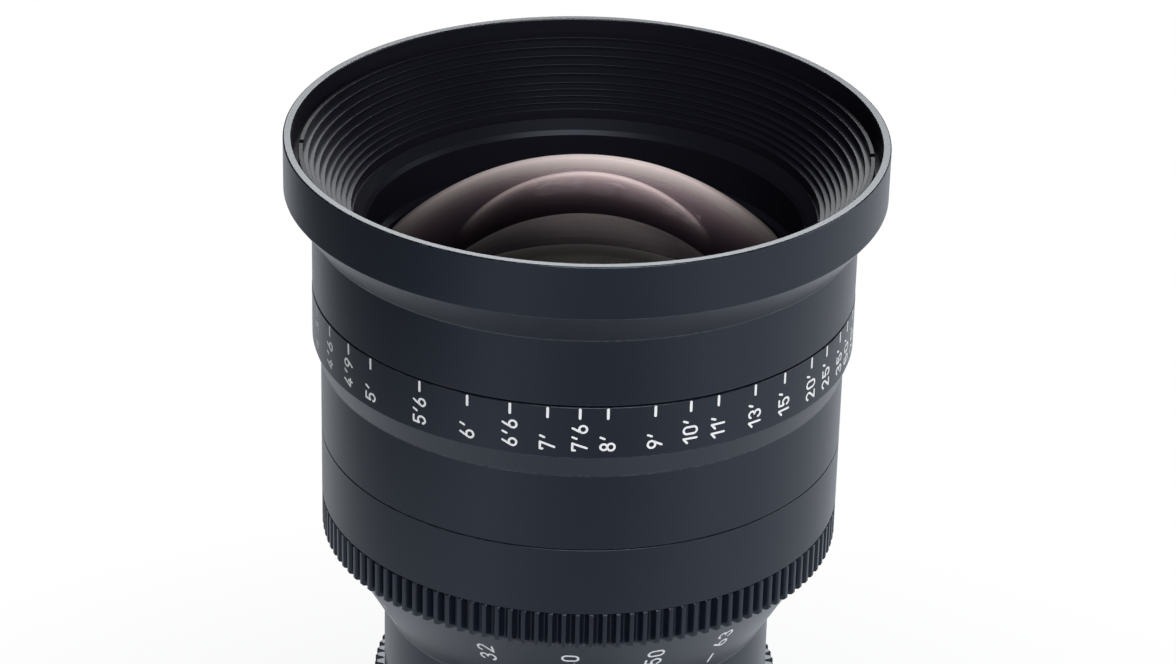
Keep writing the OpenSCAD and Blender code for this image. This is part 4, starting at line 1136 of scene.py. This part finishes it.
@dataclass
class FrontBarrel:
    """Collar, cone and neck, with a smooth bore in its mouth."""

    rim_r: float = 57.0
    bore_r: float = 55.4
    bore_end_z: float = 189.1
    neck_r: float = 51.75
    guide_r: float = 45.04
    cell_fit_r: float = 46.04
    cone_w: float = 1.7
    land_z: float = 171.0
    neck_break: float = 0.18
    taper_round: float = 0.6
    collar_round: float = 0.35
    rim_round: float = 0.28
    mouth_round: float = 0.22
    mouth_z: Point = (180.8, 197.7)
    mouth_skin: float = 0.1
    outward_share: float = 0.3
    tick: TickSize = TickSize(Z_NECK + 0.5, Z_NECK + 5.2, 0.7)

    def outline(self) -> list[Corner]:
        """Draws the turned outline.

        Returns:
            Its corners.
        """
        return [
            Corner(self.guide_r, Z_NECK), Corner(self.neck_r, Z_NECK, self.neck_break),
            Corner(self.neck_r, Z_TAPER, self.taper_round),
            Corner(self.rim_r, Z_COLLAR, self.collar_round),
            Corner(self.rim_r, Z_RIM, self.rim_round),
            Corner(self.bore_r, Z_RIM, self.mouth_round), Corner(self.bore_r, self.bore_end_z),
            Corner(self.cell_fit_r + self.cone_w, Z_CELL_END),
            Corner(self.cell_fit_r, Z_CELL_END),
            Corner(self.cell_fit_r, self.land_z), Corner(self.guide_r, self.land_z),
        ]

    def in_mouth(self, face: MeshPolygon) -> bool:
        """Tells whether a face of the shell lies in the mouth and doesn't look outwards.

        Args:
            face: the face.
        Returns:
            True where it gets the baffle's finish.
        """
        out = face.center.xy
        low, high = self.mouth_z
        inside = out.length < (self.bore_r + self.mouth_skin) * MM
        within = low * MM < face.center.z < high * MM
        return inside and within and face.normal.xy.dot(out) < self.outward_share * out.length

    def build(self, palette: Palette) -> None:
        """Builds the shell and the fixed index mark of the distance scale.

        Args:
            palette: the finishes.
        """
        shell = Turned("front_barrel_shell", self.outline(), Body.BARREL, Slot.BARREL,
                       WIDE_SEGMENTS)
        piece = shell.build(palette[Finish.BARREL], "front_barrel")
        second_finish(piece.data, palette[Finish.BAFFLE], self.in_mouth)
        index_mark("distance_index", self.neck_r, self.tick, palette)


@dataclass
class Baffle:
    """Stepped funnel in front of the glass, which traps stray light."""

    top_z: float = 194.9
    top_r: float = 54.1
    mouth_r: float = 53.2
    tall_steps: tuple[int, float, float] = (5, 1.03, 1.49)
    short_steps: tuple[int, float, float] = (4, 0.95, 1.02)
    wall: float = 1.7
    undercut: float = 0.16
    lip_share: float = 0.45
    lip_round: float = 0.1
    top_round: float = 0.12
    seat_r: float = 55.36
    seat_z: Point = (189.45, 192.5)
    foot_z: float = 181.8
    notch_azimuths: Point = (90.0, 270.0)
    notch_w: float = 1.5
    notch_depth: float = 1.0
    notch_land: float = 0.3
    level: float = 0.5

    def outline(self) -> list[Corner]:
        """Draws the turned outline, where each step has a small lip over a hollow riser.

        Returns:
            Its corners.
        """
        corners = []
        r, z = self.mouth_r, self.top_z
        for count, w, h in (self.tall_steps, self.short_steps):
            for _ in range(count):
                corners += [Corner(r, z, self.lip_round),
                            Corner(r + self.undercut, z - self.lip_share * h),
                            Corner(r + self.undercut, z - h)]
                r -= w
                z -= h
        low, high = self.seat_z
        return corners + [
            Corner(r, z, self.lip_round), Corner(r, self.foot_z),
            Corner(r + self.wall, self.foot_z), Corner(r + self.wall, z),
            Corner(self.seat_r, low), Corner(self.seat_r, high),
            Corner(self.top_r, high), Corner(self.top_r, self.top_z, self.top_round),
        ]

    def is_tread(self, face: MeshPolygon) -> bool:
        """Tells whether a face is the level part of a step."""
        return face.normal.z > self.level and face.center.xy.length < self.mouth_r * MM

    def build(self, palette: Palette) -> None:
        """Builds the funnel with its two spanner notches.

        Args:
            palette: the finishes.
        """
        notches = Notches(self.notch_azimuths, self.notch_w, self.notch_depth,
                          self.top_z - self.notch_land)
        funnel = Turned("stepped_baffle", self.outline(), Body.BARREL, Slot.BAFFLE,
                        WIDE_SEGMENTS, notches)
        piece = funnel.build(palette[Finish.BAFFLE], "front_baffle")
        # The treads that face up get the lighter, glossier copy of the black: painted light in
        # its colour, a real finish in its gloss
        second_finish(piece.data, palette[Finish.LIT_TREAD], self.is_tread)


@dataclass(frozen=True)
class Dome:
    """A spherical surface that bulges to the front: its height on the axis, curve and edge."""

    apex_z: float
    curve: float
    edge_r: float

    def height(self, r: float) -> float:
        """The surface's height at a radius."""
        return self.apex_z - self.curve + math.sqrt(self.curve ** 2 - r * r)

    def rows(self, count: int) -> list[Point]:
        """Radius and height of its rings, from next to the axis to its edge.

        Args:
            count: the number of rings.
        Returns:
            The rings.
        """
        sweep = math.asin(self.edge_r / self.curve)
        turns = [sweep * (i + 1) / count for i in range(count)]
        return [(self.curve * math.sin(a), self.apex_z - self.curve * (1 - math.cos(a)))
                for a in turns]


@dataclass
class GlassElement:
    """A lens element between two domes."""

    name: str
    front: Dome
    back: Dome
    segments: int = 192
    rings: int = 40
    sharp: float = 20.0

    def mesh(self) -> Mesh:
        """Builds the closed element, its front faces first.

        Returns:
            The mesh.
        """
        back = self.back.rows(self.rings)
        rows = self.front.rows(self.rings) + [(self.front.edge_r, back[-1][1])] + back[::-1]
        points = [(0.0, 0.0, self.front.apex_z * MM), (0.0, 0.0, self.back.apex_z * MM)]
        count = self.segments
        points += [spun(r, math.tau * i / count, z) for r, z in rows for i in range(count)]
        faces = []
        last = 2 + (len(rows) - 1) * count
        for i in range(count):
            j = (i + 1) % count
            faces.append((0, 2 + i, 2 + j))
            for a in range(2, last, count):
                b = a + count
                faces.append((a + i, b + i, b + j, a + j))
            faces.append((1, last + j, last + i))
        mesh = new_mesh(self.name, points, faces)
        mesh.set_sharp_from_angle(angle=math.radians(self.sharp))
        return mesh

    def is_back(self, face: MeshPolygon) -> bool:
        """Tells whether a face lies nearer to the back dome than to the front one."""
        r = min(face.center.xy.length / MM, self.back.edge_r)
        return face.center.z < (self.front.height(r) + self.back.height(r)) / 2 * MM

    def build(self, front: Material, back: Material) -> Object:
        """Makes the element with a finish for each side.

        Args:
            front: the finish of its front and rim.
            back: the finish of its back.
        Returns:
            The piece.
        """
        piece = new_piece(self.name, Body.BARREL, front, self.mesh())
        second_finish(piece.data, back, self.is_back)
        return piece


@dataclass
class FrontGlassGroup:
    """The front element, a cemented pair, and the ring that clamps it."""

    front: Dome = Dome(188.3, 54.1, 41.0)
    joint: Dome = Dome(187.0, 30.9, 29.6)
    back_apex_z: float = 177.2
    back_curve: float = 39.0
    cement: float = 0.02
    ring_r: float = 44.16
    ring_foot_z: float = 171.35
    top_r: float = 43.95
    top_round: float = 0.1
    cone_edge: Corner = Corner(42.2, 179.7, 0.12)
    throat_edge: Corner = Corner(41.6, 178.85, 0.1)
    throat_foot_z: float = 171.7
    lip_r: float = 40.4
    lip_z: float = 171.0
    lip_height: float = 0.7

    def ring_outline(self) -> list[Corner]:
        """Draws the clamping ring's section, with two cones above the glass.

        Returns:
            Its corners.
        """
        edge_r = self.front.edge_r
        edge_z = self.front.height(edge_r)
        return [
            Corner(edge_r, edge_z), Corner(edge_r, self.ring_foot_z),
            Corner(self.ring_r, self.ring_foot_z), Corner(self.ring_r, Z_CELL_END),
            Corner(self.top_r, Z_CELL_END, self.top_round), self.cone_edge, self.throat_edge,
            Corner(self.throat_edge.r, self.throat_foot_z), Corner(self.lip_r, self.lip_z),
            Corner(self.lip_r, edge_z + self.lip_height),
        ]

    def build(self, palette: Palette) -> None:
        """Builds the clamping ring and the two glasses of the element.

        Args:
            palette: the finishes.
        """
        Turned("front_clamp_ring", self.ring_outline(), Body.BARREL,
               Slot.CELL).build(palette[Finish.CELL], "front_retainer")
        outer = GlassElement("front_dome", self.front, self.joint)
        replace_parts(outer.build(palette[Finish.FRONT_GLASS], palette[Finish.MIDDLE_GLASS]),
                    "front_element")
        inner_r = self.joint.edge_r - self.cement
        inner = GlassElement("front_inner_dome",
                             Dome(self.joint.apex_z - self.cement,
                                  self.joint.curve - self.cement, inner_r),
                             Dome(self.back_apex_z, self.back_curve, inner_r))
        inner.build(palette[Finish.CEMENT], palette[Finish.BACK_GLASS])


@dataclass
class FocusRing:
    """Turning focus ring: scale band, bevel, grip, smooth band and drive teeth."""

    scale_r: float = 51.8
    grip_r: float = 50.2
    bore_r: float = 47.4
    lip_r: float = 45.3
    sleeve_end_z: float = 165.0
    seam_w: float = 0.22
    seam_depth: float = 0.5
    seam_round: float = 0.08
    bevel_round: float = 1.2
    scale_round: float = 0.7
    end_round: float = 0.15
    band_round: float = 0.12
    groove_w: float = 0.2
    groove_depth: float = 0.3
    teeth: int = 124
    tip_r: float = 50.2
    phase: float = 0.48
    tick: TickSize = TickSize(Z_FOCUS_END - 2.4, Z_FOCUS_END - 0.1, 0.5)
    figures_z: float = 158.6
    figure_height: float = 2.6
    marks: tuple[tuple[str, float], ...] = (
        ("∞", 97.0), ("70'", 79.7), ("50'", 73.8), ("35'", 68.5), ("25'", 61.4),
        ("20'", 55.1), ("15'", 46.1), ("13'", 37.9), ("11'", 28.9), ("10'", 22.7),
        ("9'", 15.2), ("8'", 5.6), ("7'6", 0.0), ("7'", -6.5), ("6'6", -14.2),
        ("6'", -23.3), ("5'6", -34.5), ("5'", -48.4), ("4'9", -56.4), ("4'6", -65.4),
        ("4'3", -75.1), ("4'", -86.0), ("3'9", -98.5), ("3'6", -112.5), ("3'3", -128.5),
        ("3'", -147.0), ("2'9", -169.0), ("2'6", -194.0),
    )

    def build(self, palette: Palette) -> None:
        """Builds the ring's shell, teeth and scale.

        Args:
            palette: the finishes.
        """
        seam_r = self.grip_r - self.seam_depth
        seam_z = Z_GRIP + self.seam_w
        Turned("focus_ring_shell", [
            Corner(self.bore_r, Z_GRIP), Corner(seam_r, Z_GRIP), Corner(seam_r, seam_z),
            Corner(self.grip_r, seam_z, self.seam_round),
            Corner(self.grip_r, Z_BEVEL, self.bevel_round),
            Corner(self.scale_r, Z_SCALE, self.scale_round),
            Corner(self.scale_r, Z_FOCUS_END, self.end_round), Corner(self.lip_r, Z_FOCUS_END),
            Corner(self.lip_r, self.sleeve_end_z), Corner(self.bore_r, self.sleeve_end_z),
        ], Body.FOCUS, Slot.RING, WIDE_SEGMENTS).build(palette[Finish.RING], "focus_ring")
        self.build_gear(palette)
        Scale("distance_scale", Body.FOCUS, lambda z: self.scale_r, self.marks, self.tick,
              self.figures_z, self.figure_height).build(palette)

    def build_gear(self, palette: Palette) -> None:
        """Builds the smooth band and the drive teeth.

        Args:
            palette: the finishes.
        """
        root = gear_root(self.teeth) - self.groove_depth
        foot = Z_GEAR_BAND - self.groove_w
        Turned("focus_gear_band", [
            Corner(self.bore_r, foot), Corner(root, foot), Corner(root, Z_GEAR_BAND),
            Corner(self.grip_r, Z_GEAR_BAND, self.seam_round),
            Corner(self.grip_r, Z_GRIP, self.band_round), Corner(self.bore_r, Z_GRIP),
        ], Body.FOCUS, Slot.RING, WIDE_SEGMENTS).build(palette[Finish.RING], "focus_gear_ring")
        DriveGear("focus_drive_teeth", self.teeth, self.tip_r, self.bore_r, Z_GEAR, foot,
                  Body.FOCUS, self.phase).build(palette[Finish.RING])


@dataclass
class SmallGear:
    """The smooth band and drive teeth of the zoom ring or the iris ring."""

    kind: str
    teeth: int
    tip_r: float
    bore_r: float
    z0: float
    body: Body
    band_len: float = 3.5
    face: float = 8.0
    band_drop: float = 0.4
    groove_w: float = 0.2
    groove_depth: float = 0.3
    foot_round: float = 0.2
    band_round: float = 0.1
    foot_ease: float = 0.2
    head_ease: float = 0.4

    def end_z(self) -> float:
        """The height where the teeth end."""
        return self.z0 + self.band_len + self.face

    def build(self, palette: Palette) -> None:
        """Builds the band and the teeth.

        Args:
            palette: the finishes.
        """
        band_r = self.tip_r - self.band_drop
        groove_r = gear_root(self.teeth) - self.groove_depth
        teeth_z = self.z0 + self.band_len
        groove_z = teeth_z - self.groove_w
        Turned(self.kind + "_gear_band", [
            Corner(self.bore_r, self.z0), Corner(band_r, self.z0, self.foot_round),
            Corner(band_r, groove_z, self.band_round), Corner(groove_r, groove_z),
            Corner(groove_r, teeth_z), Corner(self.bore_r, teeth_z),
        ], self.body, Slot.RING).build(palette[Finish.RING], self.kind + "_gear_ring")
        DriveGear(self.kind + "_drive_teeth", self.teeth, self.tip_r, self.bore_r, teeth_z,
                  self.end_z(), self.body, foot_ease=self.foot_ease,
                  head_ease=self.head_ease).build(palette[Finish.RING])


@dataclass
class ZoomRing:
    """Turning zoom ring with its cone, drive teeth and focal length scale."""

    radius: float = 38.05
    cone_r: float = 47.8
    seat_r: float = 37.0
    bore_r: float = 35.36
    cone_wall: float = 2.3
    seat_round: float = 0.1
    cone_round: float = 1.0
    end_round: float = 0.25
    teeth: int = 98
    tip_r: float = 40.0
    tick: TickSize = TickSize(Z_CONE_END - 13.6, Z_CONE_END - 10.8, 0.5)
    figures_z: float = Z_CONE_END - 8.5
    figure_height: float = 3.0
    stroke: float = 0.45
    marks: tuple[tuple[str, float], ...] = (
        ("21", -60.0), ("32", -22.0), ("40", -1.0), ("50", 20.0),
        ("63", 39.5), ("80", 66.0), ("100", 97.0),
    )

    def slope(self) -> float:
        """How fast the cone's radius grows with height."""
        return (self.cone_r - self.radius) / (Z_CONE_END - Z_CONE)

    def radius_at(self, z: float) -> float:
        """The outside radius at a height."""
        return self.radius + max(0.0, z - Z_CONE) * self.slope()

    def build(self, palette: Palette) -> None:
        """Builds the ring's shell, teeth and scale.

        Args:
            palette: the finishes.
        """
        gear = SmallGear("zoom", self.teeth, self.tip_r, self.seat_r + FIT_GAP, Z_ZOOM,
                         Body.ZOOM)
        seat_z = gear.end_z()
        inner_r = self.cone_r - self.cone_wall
        inner_z = Z_CONE_END - (inner_r - self.bore_r) / self.slope()
        Turned("zoom_ring_shell", [
            Corner(self.bore_r, Z_ZOOM), Corner(self.seat_r, Z_ZOOM),
            Corner(self.seat_r, seat_z), Corner(self.radius, seat_z, self.seat_round),
            Corner(self.radius, Z_CONE, self.cone_round),
            Corner(self.cone_r, Z_CONE_END, self.end_round), Corner(inner_r, Z_CONE_END),
            Corner(self.bore_r, inner_z),
        ], Body.ZOOM, Slot.RING).build(palette[Finish.RING], "zoom_ring")
        gear.build(palette)
        Scale("focal_length_scale", Body.ZOOM, self.radius_at, self.marks, self.tick,
              self.figures_z, self.figure_height, self.stroke).build(palette)


@dataclass
class IrisRing:
    """Turning iris ring with its drive teeth and stop scale."""

    radius: float = 37.0
    seat_r: float = 36.4
    bore_r: float = 35.36
    teeth: int = 96
    tip_r: float = 39.2
    end_z: float = 64.0
    seat_round: float = 0.1
    end_round: float = 0.15
    tick_drop: Point = (2.8, 0.4)
    tick_w: float = 0.45
    figures_drop: float = 9.6
    figure_height: float = 2.6
    turn: float = 38.0
    stops: tuple[str, ...] = ("2.8", "4", "5.6", "8", "11", "16", "22")

    def build(self, palette: Palette) -> None:
        """Builds the ring's shell, teeth and scale.

        Args:
            palette: the finishes.
        """
        gear = SmallGear("iris", self.teeth, self.tip_r, self.seat_r + FIT_GAP, Z_IRIS_RING,
                         Body.IRIS)
        seat_z = gear.end_z()
        Turned("iris_ring_shell", [
            Corner(self.bore_r, Z_IRIS_RING), Corner(self.seat_r, Z_IRIS_RING),
            Corner(self.seat_r, seat_z), Corner(self.radius, seat_z, self.seat_round),
            Corner(self.radius, self.end_z, self.end_round), Corner(self.bore_r, self.end_z),
        ], Body.IRIS, Slot.RING).build(palette[Finish.RING], "iris_ring")
        gear.build(palette)
        step = self.turn / (len(self.stops) - 1)
        marks = tuple((words, INDEX_AZIMUTH - step * i) for i, words in enumerate(self.stops))
        low, high = self.tick_drop
        Scale("stop_scale", Body.IRIS, lambda z: self.radius, marks,
              TickSize(self.end_z - low, self.end_z - high, self.tick_w),
              self.end_z - self.figures_drop, self.figure_height).build(palette)


@dataclass
class IndexBand:
    """The fixed band of the main barrel between the zoom and iris rings."""

    radius: float = 37.0
    tick: TickSize = TickSize(Z_BAND + 0.5, Z_ZOOM - 0.8, 0.6)

    def build(self, palette: Palette) -> None:
        """Engraves the index mark of the zoom and iris scales."""
        index_mark("barrel_indices", self.radius, self.tick, palette)


@dataclass
class CadDress:
    """Finishes for the solids that are shown as they are."""

    groups: tuple[tuple[Finish, tuple[str, ...]], ...] = (
        (Finish.BARREL, ("main_barrel", "rear_barrel", "focus_guide_barrel",
                         "zoom_guide_tube", "iris_base_plate", "iris_cover")),
        (Finish.RING, ("focus_cam_sleeve",)),
        (Finish.CELL, ("front_cell", "second_retainer", "guide_tube_ring", "rear_cell",
                       "rear_spacers", "rear_retainer", "focus_cell", "focus_retainer",
                       "variator_cell", "variator_retainer", "compensator_cell",
                       "compensator_retainer")),
        (Finish.STEEL, ("lens_mount",)),
        (Finish.SCREW, ("barrel_screws", "mount_screws", "zoom_drive_key", "iris_drive_key")),
        (Finish.BRASS, ("mount_shim", "focus_follower", "zoom_cam_tube",
                        "variator_followers", "compensator_followers")),
        (Finish.BLADE, ("iris_actuator_ring", *(f"iris_blade_{i}" for i in range(1, 9)))),
        (Finish.INNER_GLASS, ("second_element",
                              *(f"focus_element_{i}" for i in range(1, 3)),
                              *(f"variator_element_{i}" for i in range(1, 4)),
                              *(f"compensator_element_{i}" for i in range(1, 3)),
                              *(f"rear_element_{i}" for i in range(1, 5)))),
    )

    def build(self, palette: Palette) -> None:
        """Gives each solid its finish.

        Args:
            palette: the finishes.
        """
        for finish, names in self.groups:
            for name in names:
                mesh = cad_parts[name].data
                mesh.materials.clear()
                mesh.materials.append(palette[finish])
            LOG.info("dressed %d solids in %s", len(names), finish.name.lower())


# Studio


def place_in_scene(name: str, data: ID) -> Object:
    """Puts a lamp, a camera or a mesh of the studio in the scene.

    Args:
        name: the object's name.
        data: what it shows.
    Returns:
        The object.
    """
    thing = bpy.data.objects.new(name, data)
    bpy.context.scene.collection.objects.link(thing)
    return thing


@dataclass
class PhotoCamera:
    """The camera of the photograph, with lengths in millimetres and angles in degrees."""

    focal_px: float = 4052.91
    width_px: float = 1176.0
    sensor_w: float = 36.0
    distance: float = 759.67
    elevation: float = 27.086
    roll: float = 1.4112
    offset_x: float = -0.1124
    offset_y: float = 37.2553
    clip: Point = (0.01, 20.0)

    def build(self) -> None:
        """Places the camera as the photograph was taken."""
        th, ro = math.radians(self.elevation), math.radians(self.roll)
        right = Vector((1, 0, 0))
        up = Vector((0, math.sin(th), math.cos(th)))
        forward = Vector((0, math.cos(th), -math.sin(th)))
        x_axis = math.cos(ro) * right + math.sin(ro) * up
        y_axis = -math.sin(ro) * right + math.cos(ro) * up
        place = (Vector((0, 0, Z_RIM)) - self.offset_x * x_axis - self.offset_y * y_axis
                 - self.distance * forward)
        data = bpy.data.cameras.new("camera")
        data.sensor_width = self.sensor_w
        data.lens = self.sensor_w * self.focal_px / self.width_px
        data.clip_start, data.clip_end = self.clip
        camera = place_in_scene("camera", data)
        turn = Matrix((x_axis, y_axis, -forward)).transposed().to_4x4()
        camera.matrix_world = Matrix.Translation(place * MM) @ turn
        bpy.context.scene.camera = camera


@dataclass
class Floor:
    """The pale floor on which the lens stands on its mount, in metres.

    Its colour carries painted shade for the lens to reflect. It darkens towards the left, a
    little towards the right, and round a painted shadow in front of the lens, where the camera
    stands. The camera sees it white, with a share of the real shadow near the axis.
    """

    reach: float = 6.0
    colour: Triple = (0.87, 0.925, 1.0)
    rough: float = 0.8
    left_shade_fade: Point = (-0.42, -0.25)
    left_shade_tone: Point = (0.22, 0.95)
    right_shade_fade: Point = (0.0, 0.25)
    right_shade_tone: Point = (1.0, 0.90)
    camera_shadow_spot: Triple = (0.06, -0.46, 0.0)
    camera_shadow_fade: Point = (0.10, 0.34)
    camera_shadow_tone: Point = (0.32, 1.0)
    white_fade: Point = (0.05, 0.24)
    white_share: Point = (0.72, 1.0)

    def material(self) -> Material:
        """Builds the floor's material.

        Returns:
            The material.
        """
        material, graph, shader = fresh_material("pale_floor")
        place = graph.node("TexCoord").outputs["Object"]
        across = graph.node("SeparateXYZ", {0: place}).outputs["X"]
        away = graph.node("VectorMath", {0: place, 1: self.camera_shadow_spot}, operation="DISTANCE")
        left = graph.remap(across, self.left_shade_fade, self.left_shade_tone)
        right = graph.remap(across, self.right_shade_fade, self.right_shade_tone)
        front = graph.remap(away.outputs["Value"], self.camera_shadow_fade, self.camera_shadow_tone)
        # Painted shade: the floor's colour darkens to the left, to the right and round the
        # painted camera shadow in front, for the lens to reflect
        painted_shade = graph.maths("MULTIPLY", graph.maths("MULTIPLY", left, right), front)
        graph.feed(shader, {"Base Color": graph.mix(painted_shade, rgba(BLACK), rgba(self.colour)),
                            "Roughness": self.rough})
        glow = graph.node("Emission", {"Color": rgba(WHITE), "Strength": 1.0})
        axis = graph.node("VectorMath", {0: place}, operation="LENGTH").outputs["Value"]
        white = graph.remap(axis, self.white_fade, self.white_share)
        share = graph.maths("MULTIPLY", graph.seen_ray(), white)
        surface = graph.blend(share, shader.outputs["BSDF"], glow.outputs["Emission"])
        graph.feed(graph.tree.nodes["Material Output"], {0: surface})
        return material

    def build(self) -> None:
        """Lays the floor."""
        size, z = self.reach, -REGISTER_LEN * MM
        mesh = bpy.data.meshes.new("floor")
        mesh.from_pydata([(-size, -size, z), (size, -size, z), (size, size, z),
                          (-size, size, z)], [], [(0, 1, 2, 3)])
        mesh.materials.append(self.material())
        floor = place_in_scene("floor", mesh)


@dataclass
class Room:
    """A room round the lens that the camera sees white and that lights the lens dimly."""

    strength: Point = (0.06, 1.0)

    def build(self) -> None:
        """Sets the surroundings."""
        world = bpy.data.worlds.new("room")
        bpy.context.scene.world = world
        world.use_nodes = True
        graph = Graph(world.node_tree)
        graph.feed(world.node_tree.nodes["Background"], {
            "Color": rgba(WHITE),
            "Strength": graph.remap(graph.seen_ray(), FULL, self.strength),
        })


@dataclass
class SoftBox:
    """A lamp that faces the lens: its place and size in metres and its power in watts."""

    name: str
    place: Triple
    size: Point
    power: float
    aim: Triple = (0.0, 0.0, 0.15)

    def build(self) -> None:
        """Adds the lamp."""
        data = bpy.data.lights.new(self.name, "AREA")
        data.shape = "RECTANGLE"
        data.size, data.size_y = self.size
        data.energy = self.power
        lamp = place_in_scene(self.name, data)
        lamp.location = self.place
        lamp.rotation_mode = "QUATERNION"
        heading = Vector(self.aim) - Vector(self.place)
        lamp.rotation_quaternion = heading.to_track_quat("-Z", "Y")


@dataclass
class Studio:
    """Camera, floor, surroundings and lamps."""

    lamps: tuple[SoftBox, ...] = (
        SoftBox("key_box", (0.2, -1.1, 1.0), (1.0, 0.6), 19.0),
        SoftBox("right_box", (1.20, 0.10, 0.42), (0.7, 0.6), 4.0),
        SoftBox("back_box", (0.20, 1.30, 0.98), (1.0, 0.34), 9.0),
    )

    def build(self) -> None:
        """Builds the whole studio."""
        for thing in (PhotoCamera(), Floor(), Room(), *self.lamps):
            thing.build()
        bpy.context.scene.view_settings.view_transform = "Standard"


def main() -> None:
    """Builds the looks of the lens in order."""
    logging.basicConfig(level=logging.INFO, format="%(message)s")
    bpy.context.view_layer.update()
    palette = Palette()
    CadDress().build(palette)
    for assembly in (FrontBarrel(), Baffle(), FrontGlassGroup(), FocusRing(), ZoomRing(),
                     IrisRing(), IndexBand()):
        assembly.build(palette)
        LOG.info("finished %s", type(assembly).__name__)
    Studio().build()


if __name__ == "__main__":
    main()
